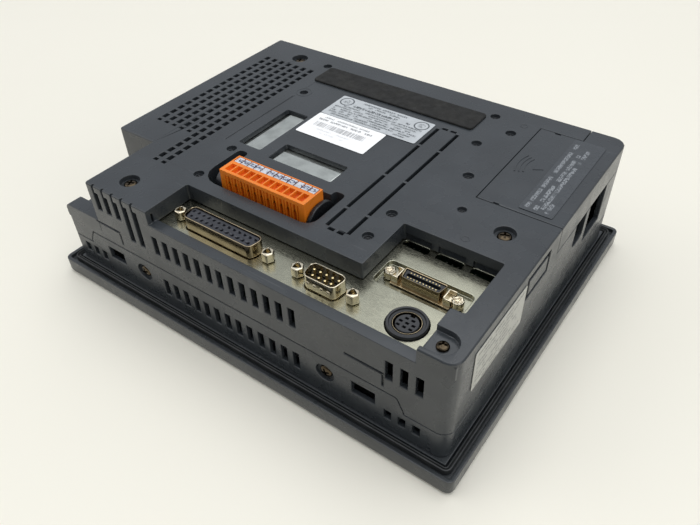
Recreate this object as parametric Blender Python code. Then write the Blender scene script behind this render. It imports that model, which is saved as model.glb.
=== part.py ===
"""Panel-mounted operator terminal, lying on its display with the rear face up.

Run with blender --background --python part.py, or from Blender's text editor.
Sizes are in millimetres and become metres where a mesh or a place is made. X runs along
the long side, Y towards the back edge, and Z from the display's face at 0 to the rear face.
Every sub-part is an object of its own, and touching pieces keep GAP between them.
"""

import math

import bmesh
import bpy
from mathutils import Matrix, Vector

MM = 0.001

# Driving sizes
BODY_LENGTH = 202.4
BODY_WIDTH = 157.4
BODY_SHIFT_Y = 0.5  # the body stands a little behind the flange's middle
TOTAL_HEIGHT = 60.0
FLANGE_REACH = 6.3  # how far the flange runs past the body on every side
FLANGE_LENGTH = BODY_LENGTH + 2 * FLANGE_REACH
FLANGE_WIDTH = BODY_WIDTH + 2 * FLANGE_REACH
FLANGE_THICKNESS = 8.3
WALL = 2.4
TOP_PLATE = 2.6
GAP = 0.3
LABEL_GAP = 0.1
LABEL_THICKNESS = 0.2

# Where the outer faces are
LEFT, RIGHT = -BODY_LENGTH / 2, BODY_LENGTH / 2
FRONT, BACK = BODY_SHIFT_Y - BODY_WIDTH / 2, BODY_SHIFT_Y + BODY_WIDTH / 2
TOP = TOTAL_HEIGHT
UNDER_TOP = TOP - TOP_PLATE
OUTSIDE = 5.0  # how far a cutter runs past a face

# Display housing and its joint with the rear cover
PARTING = 22.4
FRONT_PARTING = 29.7
RAISED_LEFT, RAISED_RIGHT = LEFT + 15.7, RIGHT - 21.2
RAISED_SLOPE = 3.0
HOUSING_WALL = 2.2
HOUSING_FLANGE = 2.2
HOUSING_FLANGE_REACH = 9.0

# Bezel, gasket, touch panel and display
RIM = 1.8
BLACK_GROOVE = 1.2
GASKET_WIDTH = 2.5
GASKET_DEPTH = 2.0
GASKET_PROUD = 0.6
BEZEL_FACE = 2.5
WINDOW_LENGTH, WINDOW_WIDTH = 158.0, 118.0
WINDOW_BEVEL = 1.4
TOUCH_LENGTH, TOUCH_WIDTH, TOUCH_THICKNESS = 176.0, 136.0, 2.0
DISPLAY_LENGTH, DISPLAY_WIDTH, DISPLAY_THICKNESS = 172.0, 132.0, 7.8
CHASSIS_CLEARANCE, CHASSIS_THICKNESS = 1.4, 1.2

# Notch at the left, with the low tab at the front corner
NOTCH_LENGTH = 22.9
NOTCH_BACK = FRONT + 38.6
NOTCH_FLOOR = 34.0
TAB_TOP = 39.6
TAB_THICKNESS = 7.4

# Connector well in the rear face
WELL_LEFT = -40.0
WELL_BACK = FRONT + 23.4
WELL_STEP = 49.6
WELL_STEP_BACK = FRONT + 51.9
WELL_RIGHT = RIGHT - 9.4
WELL_CORNER = RIGHT - 14.8
WELL_CORNER_BACK = FRONT + 22.2
LEDGE_DEPTH = 6.7
LEDGE_WIDTH = 4.9
PLATE_DEPTH = 8.0
PLATE_THICKNESS = 1.0
SKIRT = 1.5
BOARD_DROP = 8.0
BOARD_THICKNESS = 1.6
PLATE_TOP = TOP - PLATE_DEPTH
PLATE_UNDER = PLATE_TOP - PLATE_THICKNESS
BOARD_TOP = PLATE_UNDER - BOARD_DROP

# Ports on the connector plate
SERIAL_X, PORT_Y = -10.0, FRONT + 12.4
DATA_X = 40.5
PRINTER_X, PRINTER_Y = RIGHT - 31.2, FRONT + 32.4
TOOL_X, TOOL_Y = RIGHT - 26.5, FRONT + 14.0
TRAY_LENGTH, TRAY_WIDTH, TRAY_DEPTH = 36.0, 13.2, 2.0
TOOL_RADIUS, TOOL_BORE, TOOL_CORE = 7.6, 5.0, 4.6
HOOK_SLOTS = [RIGHT - 45.0, RIGHT - 30.3, RIGHT - 15.5]
HOOK_SLOT_LENGTH, HOOK_SLOT_WIDTH = 11.4, 3.2

# Supply plug, its header and release levers
PLUG_LEFT, PLUG_RIGHT = -29.75, 15.25
PLUG_FRONT, PLUG_BACK = FRONT + 33.2, FRONT + 45.7
PLUG_PROUD = 6.0
PLUG_STEP = 1.5
POLES, POLE_PITCH = 12, 3.5
HEADER_HEIGHT = 8.7
LEVER_THICKNESS = 2.0
LEVER_RADIUS = 8.7
LEVER_PROUD = 2.0
LEVER_BAR = 1.0
LEVER_SWING = 2.75
LEVER_PIVOT = 3.4  # above the header's foot
EAR_THICKNESS, EAR_HEIGHT = 1.6, 5.4
PLUG_MIDDLE = (PLUG_FRONT + PLUG_BACK) / 2
BAY_LEFT = PLUG_LEFT - 10.0
BAY_FRONT, BAY_BACK = PLUG_MIDDLE - LEVER_RADIUS - 0.55, PLUG_MIDDLE + LEVER_RADIUS + 2.85
BAY_RIGHT = PLUG_RIGHT + GAP + LEVER_THICKNESS + LEVER_SWING
LOBE_LENGTH, LOBE_BACK = 5.4, BAY_BACK + 4.8

# Card cover at the right and the tray it slides on
COVER_LEFT, COVER_FRONT = RIGHT - 36.5, BACK - 74.9
COVER_STEP_X, COVER_STEP_Y = RIGHT - 16.4, BACK - 11.2
COVER_SKIRT_BOTTOM = TOP - 12.2
COVER_THICKNESS = 2.0
TRAY_PLATE = 2.4
CORNER_ROUND = 6.0

# Vents
VENT_PITCH = 5.02
VENT_SIZE_X, VENT_SIZE_Y = 2.6, 3.5
VENT_COLUMNS = [(LEFT + 9.8 + VENT_PITCH * i, 16 if i < 5 else 21) for i in range(7)]
VENT_BACK = BACK - 23.0
SIDE_PITCH = 6.06
SIDE_SLOT = 3.05

# Screws
SCREW_RECESS, SCREW_RECESS_DEPTH = 4.3, 2.2
SCREW_HEAD, SCREW_HEAD_HEIGHT, SCREW_SHANK = 2.9, 1.3, 1.4
REAR_SCREWS = [
    (LEFT + 38.8, FRONT + 11.6),
    (LEFT + 25.3, BACK - 13.4),
    (RIGHT - 16.9, FRONT + 67.8),
]
CORNER_SCREW = (RIGHT - 9.3, FRONT + 7.5)
POCKET_DEPTH = 2.6
POCKET_HALF = 5.4
SIDE_SCREW_Z = 21.0
SIDE_RECESS = 1.5
SIDE_SCREWS = [-52.9, 47.9]
FASTENER_SLOTS = [LEFT + 30.1, RIGHT - 35.7]
FASTENER_LENGTH, FASTENER_HEIGHT, FASTENER_Z = 10.4, 6.4, 21.8


# ------------------------------------------------------------------ outlines

def rectangle(x0, y0, x1, y1, radius=0.0):
    """Corners (x, y, radius) of a rectangle, anticlockwise."""
    return [(x0, y0, radius), (x1, y0, radius), (x1, y1, radius), (x0, y1, radius)]


def inset(corners, distance):
    """The same outline with every side moved inwards, and its round corners with it."""
    moved = []
    for index, (x, y, radius) in enumerate(corners):
        before, after = corners[index - 1], corners[(index + 1) % len(corners)]
        into = Vector((x - before[0], y - before[1])).normalized()
        out = Vector((after[0] - x, after[1] - y)).normalized()
        first, second = Vector((-into.y, into.x)), Vector((-out.y, out.x))
        shift = (first + second) * (distance / (1 + first.dot(second)))
        turn = into.x * out.y - into.y * out.x
        new_radius = radius - distance if turn > 0 else radius + distance
        moved.append((x + shift.x, y + shift.y, max(new_radius, 0.0) if radius else 0.0))
    return moved


def rounded(corners, segments=4):
    """Points round an outline, with each corner's radius drawn as an arc."""
    points = []
    for index, (x, y, radius) in enumerate(corners):
        here = Vector((x, y))
        if radius <= 0:
            points.append(here)
            continue
        before, after = corners[index - 1], corners[(index + 1) % len(corners)]
        into = (here - Vector(before[:2])).normalized()
        out = (Vector(after[:2]) - here).normalized()
        turn = math.atan2(into.x * out.y - into.y * out.x, into.dot(out))
        start = here - into * radius * math.tan(abs(turn) / 2)
        side = Vector((-into.y, into.x)) * math.copysign(1.0, turn)
        centre = start + side * radius
        for step in range(segments + 1):
            angle = turn * step / segments
            points.append(centre + Matrix.Rotation(angle, 2) @ (start - centre))
    return points


def circle(x, y, radius, sides=16):
    """Points round a circle."""
    turn = 2 * math.pi / sides
    return [Vector((x + radius * math.cos(turn * i), y + radius * math.sin(turn * i)))
            for i in range(sides)]


# ------------------------------------------------------------------ solids

def prism(points, low, high, along="Z", taper=None):
    """A closed solid on an outline. taper is the far end's own outline."""
    far = taper or points
    places = {
        "Z": lambda u, v, w: (u, v, w),
        "Y": lambda u, v, w: (u, w, v),
        "X": lambda u, v, w: (w, u, v),
    }[along]
    shape = bmesh.new()
    near_ring = [shape.verts.new(Vector(places(p[0], p[1], low)) * MM) for p in points]
    far_ring = [shape.verts.new(Vector(places(p[0], p[1], high)) * MM) for p in far]
    shape.faces.new(near_ring)
    shape.faces.new(far_ring)
    shape.edges.index_update()
    ends = [edge for edge in shape.edges]
    bmesh.ops.bridge_loops(shape, edges=ends)
    bmesh.ops.recalc_face_normals(shape, faces=shape.faces)
    return shape


def block(x0, y0, z0, x1, y1, z1):
    """A plain box between two corners."""
    return prism(rounded(rectangle(x0, y0, x1, y1)), z0, z1)


def blocks(shapes):
    """Several solids that don't touch, as one shape."""
    joined = bmesh.new()
    for shape in shapes:
        mesh = bpy.data.meshes.new("shape")
        shape.to_mesh(mesh)
        shape.free()
        joined.from_mesh(mesh)
        bpy.data.meshes.remove(mesh)
    return joined


def material(name, colour, roughness, metallic=0.0):
    """A Principled material with a linear colour."""
    made = bpy.data.materials.get(name) or bpy.data.materials.new(name)
    made.use_nodes = True
    shader = made.node_tree.nodes["Principled BSDF"]
    shader.inputs["Base Color"].default_value = (*colour, 1.0)
    shader.inputs["Roughness"].default_value = roughness
    shader.inputs["Metallic"].default_value = metallic
    return made


def make(name, shape, finish, at=(0.0, 0.0, 0.0)):
    """An object from a shape, standing at a place in millimetres."""
    mesh = bpy.data.meshes.new(name)
    shape.to_mesh(mesh)
    shape.free()
    made = bpy.data.objects.new(name, mesh)
    bpy.context.scene.collection.objects.link(made)
    made.location = Vector(at) * MM
    made.data.materials.append(finish)
    return made


def combine(target, shape, operation):
    """Applies a Boolean between an object and a shape given in the object's own frame."""
    tool = make("tool", shape, target.data.materials[0])
    tool.location = target.location
    modifier = target.modifiers.new("combine", "BOOLEAN")
    modifier.operation = operation
    modifier.solver = "EXACT"
    modifier.object = tool
    bpy.context.view_layer.update()
    graph = bpy.context.evaluated_depsgraph_get()
    result = bpy.data.meshes.new_from_object(target.evaluated_get(graph))
    target.modifiers.remove(modifier)
    old = target.data
    target.data = result
    bpy.data.meshes.remove(old)
    spent = tool.data
    bpy.data.objects.remove(tool)
    bpy.data.meshes.remove(spent)


def cut(target, *shapes):
    """Takes shapes away from an object."""
    for shape in shapes:
        combine(target, shape, "DIFFERENCE")


def fuse(target, *shapes):
    """Joins shapes to an object as one solid."""
    for shape in shapes:
        combine(target, shape, "UNION")


def soften(target, width, segments, chosen):
    """Bevels the edges that chosen() picks, before any cut is made."""
    shape = bmesh.new()
    shape.from_mesh(target.data)
    edges = [edge for edge in shape.edges if chosen(edge)]
    bmesh.ops.bevel(shape, geom=edges, offset=width * MM, segments=segments,
                    affect="EDGES", profile=0.5, material=-1, clamp_overlap=True)
    shape.to_mesh(target.data)
    shape.free()


def at_height(height):
    """Picks the edges that lie at one height."""
    def chosen(edge):
        return all(abs(v.co.z - height * MM) < 0.01 * MM for v in edge.verts)
    return chosen


# ------------------------------------------------------------------ finishes

def finishes():
    """The materials, by name."""
    return {
        "slate": material("slate_plastic", (0.070, 0.077, 0.087), 0.48),
        "bezel": material("bezel_plastic", (0.045, 0.049, 0.055), 0.50),
        "rubber": material("gasket_rubber", (0.016, 0.017, 0.018), 0.70),
        "foam": material("foam_strip", (0.040, 0.040, 0.035), 0.85),
        "glass": material("touch_glass", (0.020, 0.024, 0.028), 0.12),
        "steel": material("plated_steel", (0.56, 0.53, 0.44), 0.30, 1.0),
        "bracket": material("galvanised_steel", (0.62, 0.63, 0.60), 0.42, 1.0),
        "brass": material("screw_steel", (0.33, 0.28, 0.18), 0.35, 1.0),
        "nickel": material("nickel_plate", (0.70, 0.66, 0.54), 0.22, 1.0),
        "insert": material("port_plastic", (0.018, 0.018, 0.020), 0.45),
        "orange": material("orange_plastic", (0.80, 0.19, 0.03), 0.42),
        "white": material("marker_plastic", (0.78, 0.78, 0.80), 0.50),
        "silver": material("silver_label", (0.60, 0.62, 0.63), 0.38, 0.4),
        "paper": material("paper_label", (0.86, 0.86, 0.85), 0.55),
        "tint": material("notice_label", (0.085, 0.092, 0.105), 0.42),
        "board": material("circuit_board", (0.020, 0.120, 0.045), 0.45),
        "module": material("display_module", (0.30, 0.31, 0.32), 0.45, 0.6),
    }


# ------------------------------------------------------------------ display side

def build_bezel(finish):
    """The flanged front frame, with its window, display pocket and gasket seat."""
    x, y = FLANGE_LENGTH / 2, FLANGE_WIDTH / 2
    outer = rectangle(-x, -y, x, y, 3.0)
    bezel = make("front_bezel", prism(rounded(outer), 0, FLANGE_THICKNESS), finish["bezel"])
    soften(bezel, 1.6, 2, at_height(0))
    pocket_x, pocket_y = TOUCH_LENGTH / 2 + GAP, TOUCH_WIDTH / 2 + GAP
    pocket = rectangle(-pocket_x, -pocket_y, pocket_x, pocket_y, 2.0)
    cut(bezel, prism(rounded(pocket), BEZEL_FACE, FLANGE_THICKNESS + OUTSIDE))
    window_x, window_y = WINDOW_LENGTH / 2, WINDOW_WIDTH / 2
    inner = rectangle(-window_x, -window_y, window_x, window_y, 1.5)
    wide = inset(inner, -WINDOW_BEVEL)
    cut(bezel, prism(rounded(wide), -GAP, BEZEL_FACE + GAP, taper=rounded(inner)))
    groove_low = FLANGE_THICKNESS - GASKET_DEPTH
    seat = inset(outer, RIM)
    inside = inset(seat, BLACK_GROOVE + GASKET_WIDTH + GAP)
    ring = make("ring", prism(rounded(seat), groove_low, FLANGE_THICKNESS + OUTSIDE), finish["bezel"])
    cut(ring, prism(rounded(inside), 0, FLANGE_THICKNESS + 2 * OUTSIDE))
    take(bezel, ring)


def take(target, other):
    """Cuts one finished object out of another and removes it."""
    shape = bmesh.new()
    shape.from_mesh(other.data)
    spent = other.data
    bpy.data.objects.remove(other)
    bpy.data.meshes.remove(spent)
    cut(target, shape)


def build_gasket(finish):
    """The rubber ring that seals the bezel against the panel it is fixed in."""
    x, y = FLANGE_LENGTH / 2, FLANGE_WIDTH / 2
    outer = inset(rectangle(-x, -y, x, y, 3.0), RIM + BLACK_GROOVE)
    low = FLANGE_THICKNESS - GASKET_DEPTH + GAP
    high = FLANGE_THICKNESS + GASKET_PROUD
    gasket = make("panel_gasket", prism(rounded(outer), low, high), finish["rubber"])
    cut(gasket, prism(rounded(inset(outer, GASKET_WIDTH)), low - OUTSIDE, high + OUTSIDE))
    soften(gasket, 0.5, 1, at_height(high))


def build_display(finish):
    """The touch panel, the display module behind it and the sheet frame that holds them."""
    low = BEZEL_FACE + GAP
    x, y = TOUCH_LENGTH / 2, TOUCH_WIDTH / 2
    make("touch_panel", prism(rounded(rectangle(-x, -y, x, y, 1.5)), 0, TOUCH_THICKNESS),
         finish["glass"], at=(0, 0, low))
    low += TOUCH_THICKNESS + GAP
    x, y = DISPLAY_LENGTH / 2, DISPLAY_WIDTH / 2
    display = make("display_module", block(-x, -y, 0, x, y, DISPLAY_THICKNESS),
                   finish["module"], at=(0, 0, low))
    frame = [block(-x - 1, side * y - 5, 4, x + 1, side * y + 5, DISPLAY_THICKNESS + 1)
             for side in (-1, 1)]
    cut(display, *frame)
    low += DISPLAY_THICKNESS + CHASSIS_CLEARANCE
    inside = HOUSING_WALL + 2 * GAP + 2.0
    plate = rectangle(LEFT + inside, FRONT + inside, RIGHT - inside, BACK - inside, 3.0)
    chassis = make("chassis_frame", prism(rounded(plate), low, low + CHASSIS_THICKNESS),
                   finish["bracket"])
    cable_window = block(-20, 20, low - OUTSIDE, 20, 40, low + OUTSIDE)
    cut(chassis, cable_window)


def joint_step(cover_side):
    """The joint's raised stretch in X and Z, for the cover's cut or the housing's wall."""
    gap = 0.0 if cover_side else GAP
    top = FRONT_PARTING - gap
    low = PARTING - OUTSIDE
    return [
        (RAISED_LEFT - RAISED_SLOPE + gap, low, 0),
        (RAISED_RIGHT + RAISED_SLOPE - gap, low, 0),
        (RAISED_RIGHT + RAISED_SLOPE - gap, PARTING + 1.0, 0),
        (RAISED_RIGHT - gap, top, 1.6),
        (RAISED_LEFT + gap, top, 1.2),
        (RAISED_LEFT - RAISED_SLOPE + gap, PARTING + 1.0, 0),
    ]


def build_housing(finish):
    """The display housing: the lower wall of the body, open front and rear."""
    low, high = FLANGE_THICKNESS + GAP, PARTING - GAP
    outer = [(LEFT, FRONT, 1.5), (RIGHT, FRONT, 5.0), (RIGHT, BACK, CORNER_ROUND), (LEFT, BACK, 1.5)]
    housing = make("display_housing", prism(rounded(outer), low, high), finish["slate"])
    for start, end in ((FRONT, FRONT + HOUSING_WALL), (BACK - HOUSING_WALL, BACK)):
        fuse(housing, prism(rounded(joint_step(False)), start, end, along="Y"))
    inner = inset(outer, HOUSING_WALL)
    cut(housing, prism(rounded(inner), low + HOUSING_FLANGE, high + 4 * OUTSIDE))
    opening = inset(outer, HOUSING_WALL + HOUSING_FLANGE_REACH)
    cut(housing, prism(rounded(opening), low - OUTSIDE, high))
    vents = [(x, 14.4, 23.2) for x in side_vents(-38.9, 13)]
    vents += [(x, 14.4, 19.4) for x in side_vents(LEFT + 7.4, 3)]
    vents += [(x, 14.4, 19.2) for x in side_vents(RIGHT - 25.0, 3)]
    slots = [rectangle(x - SIDE_SLOT / 2, z0, x + SIDE_SLOT / 2, z1) for x, z0, z1 in vents]
    slots += [rectangle(x - FASTENER_LENGTH / 2, FASTENER_Z - FASTENER_HEIGHT / 2,
                        x + FASTENER_LENGTH / 2, FASTENER_Z + FASTENER_HEIGHT / 2)
              for x in FASTENER_SLOTS]
    for face, inwards in ((FRONT, 1), (BACK, -1)):
        def depths(start, end):
            return sorted((face + inwards * start, face + inwards * end))
        for x in SIDE_SCREWS:
            boss = rounded(rectangle(x - 5, SIDE_SCREW_Z - 5, x + 5, SIDE_SCREW_Z + 5))
            fuse(housing, prism(boss, *depths(0.5, 8.5), along="Y"))
            recess = circle(x, SIDE_SCREW_Z, SCREW_RECESS, 20)
            bore = circle(x, SIDE_SCREW_Z, SCREW_SHANK + GAP, 12)
            cut(housing, prism(recess, *depths(-1, SIDE_RECESS), along="Y"))
            cut(housing, prism(bore, *depths(SIDE_RECESS - 1, 9.5), along="Y"))
        cut(housing, blocks([prism(rounded(slot), *depths(-1, HOUSING_WALL + 1), along="Y")
                             for slot in slots]))


def side_vents(first, count):
    """Middles of a row of upright slots."""
    return [first + SIDE_PITCH * index for index in range(count)]


# ------------------------------------------------------------------ rear cover

def cover_outline():
    """The rear face, with the notch at its left front corner."""
    notch = LEFT + NOTCH_LENGTH
    return [
        (notch, FRONT, 1.5), (RIGHT, FRONT, 5.0), (RIGHT, BACK, CORNER_ROUND),
        (LEFT, BACK, 1.5), (LEFT, NOTCH_BACK, 1.0), (notch, NOTCH_BACK, 0.6),
    ]


def well_outline():
    """The connector well, behind its low front ledge."""
    front = FRONT + LEDGE_WIDTH
    return [
        (WELL_LEFT, front, 0), (WELL_CORNER, front, 0), (WELL_CORNER, WELL_CORNER_BACK, 1.0),
        (WELL_RIGHT, WELL_CORNER_BACK, 1.0), (WELL_RIGHT, WELL_STEP_BACK, 0.8),
        (WELL_STEP, WELL_STEP_BACK, 0.8), (WELL_STEP, WELL_BACK, 0.8), (WELL_LEFT, WELL_BACK, 0.8),
    ]


def bay_outline():
    """The plug's bay, with a lobe at the back of each end."""
    left, right = BAY_LEFT + LOBE_LENGTH, BAY_RIGHT - LOBE_LENGTH
    right_back = LOBE_BACK - 1.7
    return [
        (BAY_LEFT, BAY_FRONT, 9.0), (BAY_RIGHT, BAY_FRONT, 5.0), (BAY_RIGHT, right_back, 2.0),
        (right, right_back, 1.5), (right, BAY_BACK, 0.6), (left, BAY_BACK, 1.5),
        (left, LOBE_BACK, 2.0), (BAY_LEFT, LOBE_BACK, 2.0),
    ]


def card_outline():
    """The card cover, which reaches round the right back corner."""
    return [
        (COVER_LEFT, COVER_FRONT, 0), (RIGHT, COVER_FRONT, 0), (RIGHT, BACK, CORNER_ROUND),
        (COVER_STEP_X, BACK, 0), (COVER_STEP_X, COVER_STEP_Y, 0), (COVER_LEFT, COVER_STEP_Y, 0),
    ]


def rear_blind_holes():
    """Places and radii of the round blind holes in the rear face."""
    return [
        (-57.0, BACK - 13.0, 2.3), (-49.4, 35.9, 2.1), (-43.7, FRONT + 54.6, 2.3),
        (-41.6, FRONT + 31.9, 2.3), (42.2, BACK - 12.6, 2.3), (54.8, BACK - 22.5, 2.4),
        (45.8, 40.6, 2.3), (54.8, 15.9, 2.4), (RIGHT - 37.4, FRONT + 71.9, 1.9),
        (42.2, FRONT + 54.4, 2.3), (42.2, FRONT + 37.8, 2.3),
    ]


def build_rear_cover(finish):
    """The rear cover: a shell with the well, the plug's bay, vents and the card tray."""
    outer = cover_outline()
    notch = LEFT + NOTCH_LENGTH
    cover = make("rear_cover", prism(rounded(outer), PARTING, TOP), finish["slate"])
    soften(cover, 0.7, 2, at_height(TOP))
    low_block = rectangle(LEFT, FRONT, notch + 4, NOTCH_BACK + 4, 0)
    low_block[0] = (LEFT, FRONT, 1.5)
    fuse(cover, prism(rounded(low_block), PARTING, NOTCH_FLOOR))
    cut(cover, prism(rounded(inset(outer, WALL)), PARTING - OUTSIDE, UNDER_TOP))
    low_room = rectangle(LEFT + WALL, FRONT + WALL, notch + WALL + 1, NOTCH_BACK + WALL + 1)
    cut(cover, prism(rounded(low_room), PARTING - OUTSIDE, NOTCH_FLOOR - WALL))
    tab = [(LEFT, NOTCH_FLOOR - 1, 0), (notch + 1, NOTCH_FLOOR - 1, 0), (notch + 1, TAB_TOP, 0),
           (LEFT, TAB_TOP, 3.0)]
    fuse(cover, prism(rounded(tab), FRONT, FRONT + TAB_THICKNESS, along="Y"))
    for start, end in ((FRONT - OUTSIDE, FRONT + WALL + 1), (BACK - WALL - 1, BACK + OUTSIDE)):
        cut(cover, prism(rounded(joint_step(True)), start, end, along="Y"))
    build_card_tray(cover)
    build_well(cover)
    build_bay(cover)
    cut_rear_face(cover)
    cut_side_faces(cover)
    return cover


def build_card_tray(cover):
    """The sunk tray under the card cover, with the card opening and the cover's rebate."""
    seat = TOP - COVER_THICKNESS - GAP
    shelf = COVER_SKIRT_BOTTOM - GAP
    rebate = COVER_THICKNESS + GAP
    tray = rectangle(COVER_LEFT - WALL, COVER_FRONT - WALL, RIGHT - 1, BACK - 1, CORNER_ROUND - 1)
    tray[0], tray[1], tray[3] = [(x, y, 0) for x, y, _ in (tray[0], tray[1], tray[3])]
    fuse(cover, prism(rounded(tray), shelf - TRAY_PLATE, seat))
    room = rectangle(COVER_LEFT, COVER_FRONT, RIGHT - rebate - WALL, BACK - rebate - WALL, 0)
    cut(cover, prism(rounded(room), shelf - TRAY_PLATE - OUTSIDE, seat - TRAY_PLATE))
    gap_outline = inset(card_outline(), -GAP)
    cut(cover, prism(rounded(gap_outline), seat, TOP + OUTSIDE))
    ring = make("ring", prism(rounded(gap_outline), shelf, TOP + OUTSIDE), cover.data.materials[0])
    kept = rectangle(COVER_LEFT - OUTSIDE, COVER_FRONT - OUTSIDE, RIGHT - rebate, BACK - rebate,
                     CORNER_ROUND - rebate)
    cut(ring, prism(rounded(kept), shelf - OUTSIDE, TOP + 2 * OUTSIDE))
    take(cover, ring)
    opening = rectangle(COVER_LEFT + 3.5, COVER_FRONT + 4, RIGHT - 8.5, COVER_STEP_Y - 6, 1.0)
    cut(cover, prism(rounded(opening), shelf, TOP + OUTSIDE))


def build_well(cover):
    """The walls round the connector well, its ledge and the corner screw's pocket."""
    well = well_outline()
    bottom = PLATE_TOP + GAP
    fuse(cover, prism(rounded(inset(well, -SKIRT)), bottom, UNDER_TOP + 1))
    lip = rounded(rectangle(WELL_LEFT - SKIRT, FRONT + 1, WELL_CORNER + SKIRT,
                            FRONT + LEDGE_WIDTH + 0.01))
    fuse(cover, prism(lip, bottom, TOP - LEDGE_DEPTH))
    cut(cover, prism(rounded(well), PLATE_UNDER, TOP + OUTSIDE))
    ledge = rectangle(WELL_LEFT, FRONT - OUTSIDE, WELL_CORNER, FRONT + LEDGE_WIDTH + 1)
    cut(cover, prism(rounded(ledge), TOP - LEDGE_DEPTH, TOP + OUTSIDE))
    hooks = [block(x - HOOK_SLOT_LENGTH / 2, WELL_STEP_BACK - 1, bottom - 1,
                   x + HOOK_SLOT_LENGTH / 2, WELL_STEP_BACK + SKIRT + 1, bottom + 3.0)
             for x in HOOK_SLOTS]
    cut(cover, blocks(hooks))
    x, y = CORNER_SCREW
    floor = TOP - POCKET_DEPTH
    fuse(cover, block(WELL_CORNER + 0.5, y - POCKET_HALF - 1, bottom, RIGHT - 1,
                      WELL_CORNER_BACK - 0.5, UNDER_TOP + 1))
    pocket = rectangle(WELL_CORNER - 1, y - POCKET_HALF, x + POCKET_HALF, y + POCKET_HALF)
    pocket[1] = (*pocket[1][:2], POCKET_HALF - 0.2)
    pocket[2] = (*pocket[2][:2], POCKET_HALF - 0.2)
    cut(cover, prism(rounded(pocket, 5), floor, TOP + OUTSIDE))
    cut(cover, prism(circle(x, y, SCREW_SHANK + GAP, 12), bottom - OUTSIDE, floor + 1))


def build_bay(cover):
    """The deep bay that the supply plug and its levers stand in."""
    bottom = BOARD_TOP + 4.0
    outline = bay_outline()
    fuse(cover, prism(rounded(inset(outline, -SKIRT)), bottom, UNDER_TOP + 1))
    cut(cover, prism(rounded(outline), bottom - OUTSIDE, TOP + OUTSIDE))


def cut_rear_face(cover):
    """Vents, windows, screw recesses, blind holes and the pre-cut panel."""
    vents = []
    for x, count in VENT_COLUMNS:
        for row in range(count):
            y = VENT_BACK - VENT_PITCH * row
            vents.append((x, y, VENT_SIZE_Y))
        last = VENT_BACK - VENT_PITCH * count + VENT_SIZE_Y / 4
        vents.append((x, last, VENT_SIZE_Y / 2))
    cut(cover, blocks([
        block(x - VENT_SIZE_X / 2, y - size / 2, UNDER_TOP - 1, x + VENT_SIZE_X / 2, y + size / 2,
              TOP + 1) for x, y, size in vents]))
    windows = [rectangle(-45.0, -17.5, -32.2, 17.7, 0.8), rectangle(-25.2, -20.1, 9.2, -7.1, 0.8)]
    cut(cover, blocks([prism(rounded(w, 2), UNDER_TOP - 1, TOP + 1) for w in windows]))
    boss_low = UNDER_TOP - 6.0
    for x, y in REAR_SCREWS:
        fuse(cover, prism(circle(x, y, SCREW_RECESS + 1.2), boss_low, UNDER_TOP + 1))
        cut(cover, prism(circle(x, y, SCREW_RECESS, 20), TOP - SCREW_RECESS_DEPTH, TOP + 1))
        cut(cover, prism(circle(x, y, SCREW_SHANK + GAP, 12), boss_low - 1, TOP))
    holes = [prism(circle(x, y, r, 14), TOP - 1.7, TOP + 1) for x, y, r in rear_blind_holes()]
    cut(cover, blocks(holes))
    cut(cover, blocks(panel_slots()))
    line = block(-51.9, -19.3, TOP - 0.6, -51.1, 30.7, TOP + 1)
    cut(cover, line)


def panel_slots():
    """The broken outline of the pre-cut long panel: four slots a side, and hooked ends."""
    left, right, near, far, width = 24.4, 36.2, FRONT + 32.9, 43.9, 1.6
    breaks = [near + 1.6, -30.4, -2.7, 25.4, far - 1.6]
    low, high = UNDER_TOP - 1, TOP + 1
    slots = []
    for start, end in zip(breaks, breaks[1:]):
        first = start + (0.0 if start == breaks[0] else 0.6)
        last = end - (0.0 if end == breaks[-1] else 0.6)
        for x in (left, right - width):
            slots.append(block(x, first, low, x + width, last, high))
    for y in (near - 0.3, far - 1.3):
        slots.append(block(left + width + 0.6, y, low, left + 5.2, y + width, high))
        slots.append(block(right - 5.2, y, low, right - width - 0.6, y + width, high))
    return slots


def cut_side_faces(cover):
    """Slots and grooves of the front wall, and the openings of the right wall."""
    reach = (FRONT - 1, FRONT + WALL + 1)
    slots = [(x, TOP - 22.1, TOP - 12.6) for x in side_vents(-38.9, 13)]
    slots += [(x, TOP - 22.8, TOP - 13.5) for x in side_vents(RIGHT - 24.8, 3)]
    corner = side_vents(LEFT + 28.8, 5)
    slots += [(x, TOP - (12.8 if index < 3 else 22.1), TOP - 3.6) for index, x in enumerate(corner)]
    cut(cover, blocks([
        prism(rounded(rectangle(x - SIDE_SLOT / 2, z0, x + SIDE_SLOT / 2, z1)), *reach, along="Y")
        for x, z0, z1 in slots]))
    necks = [block(x - SIDE_SLOT / 2, FRONT - 1, TOP - 4.2, x - SIDE_SLOT / 2 + 1.1, FRONT + 1.4,
                   TOP + 1) for x in corner]
    cut(cover, blocks(necks))
    grooves = []
    for start, end in ((LEFT + 22.2, LEFT + 38.4), (RIGHT - 43.7, RIGHT - 26.9)):
        across = rectangle(start, TOP - 21.4, end, TOP - 20.6)
        down = rectangle(end - 0.8, TOP - 28.0, end, TOP - 21.41)
        grooves.append(prism(rounded(across), FRONT - 1, FRONT + 0.9, along="Y"))
        grooves.append(prism(rounded(down), FRONT - 1, FRONT + 0.9, along="Y"))
    for shape in grooves:
        cut(cover, shape)
    wall = (RIGHT - WALL - 4.5, RIGHT + 1)
    shelf = COVER_SKIRT_BOTTOM - GAP
    small = [(25.0, shelf - 13.2, 3.5), (36.5, shelf - 13.2, 3.5), (36.5, shelf, 0), (25.0, shelf, 0)]
    large = rectangle(40.5, shelf - 19.2, 60.5, shelf)
    cut(cover, prism(rounded(small), *wall, along="X"), prism(rounded(large), *wall, along="X"))
    blank = blank_outline()
    cut(cover, prism(rounded(blank), RIGHT - 1.2, RIGHT + 1, along="X"))


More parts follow.
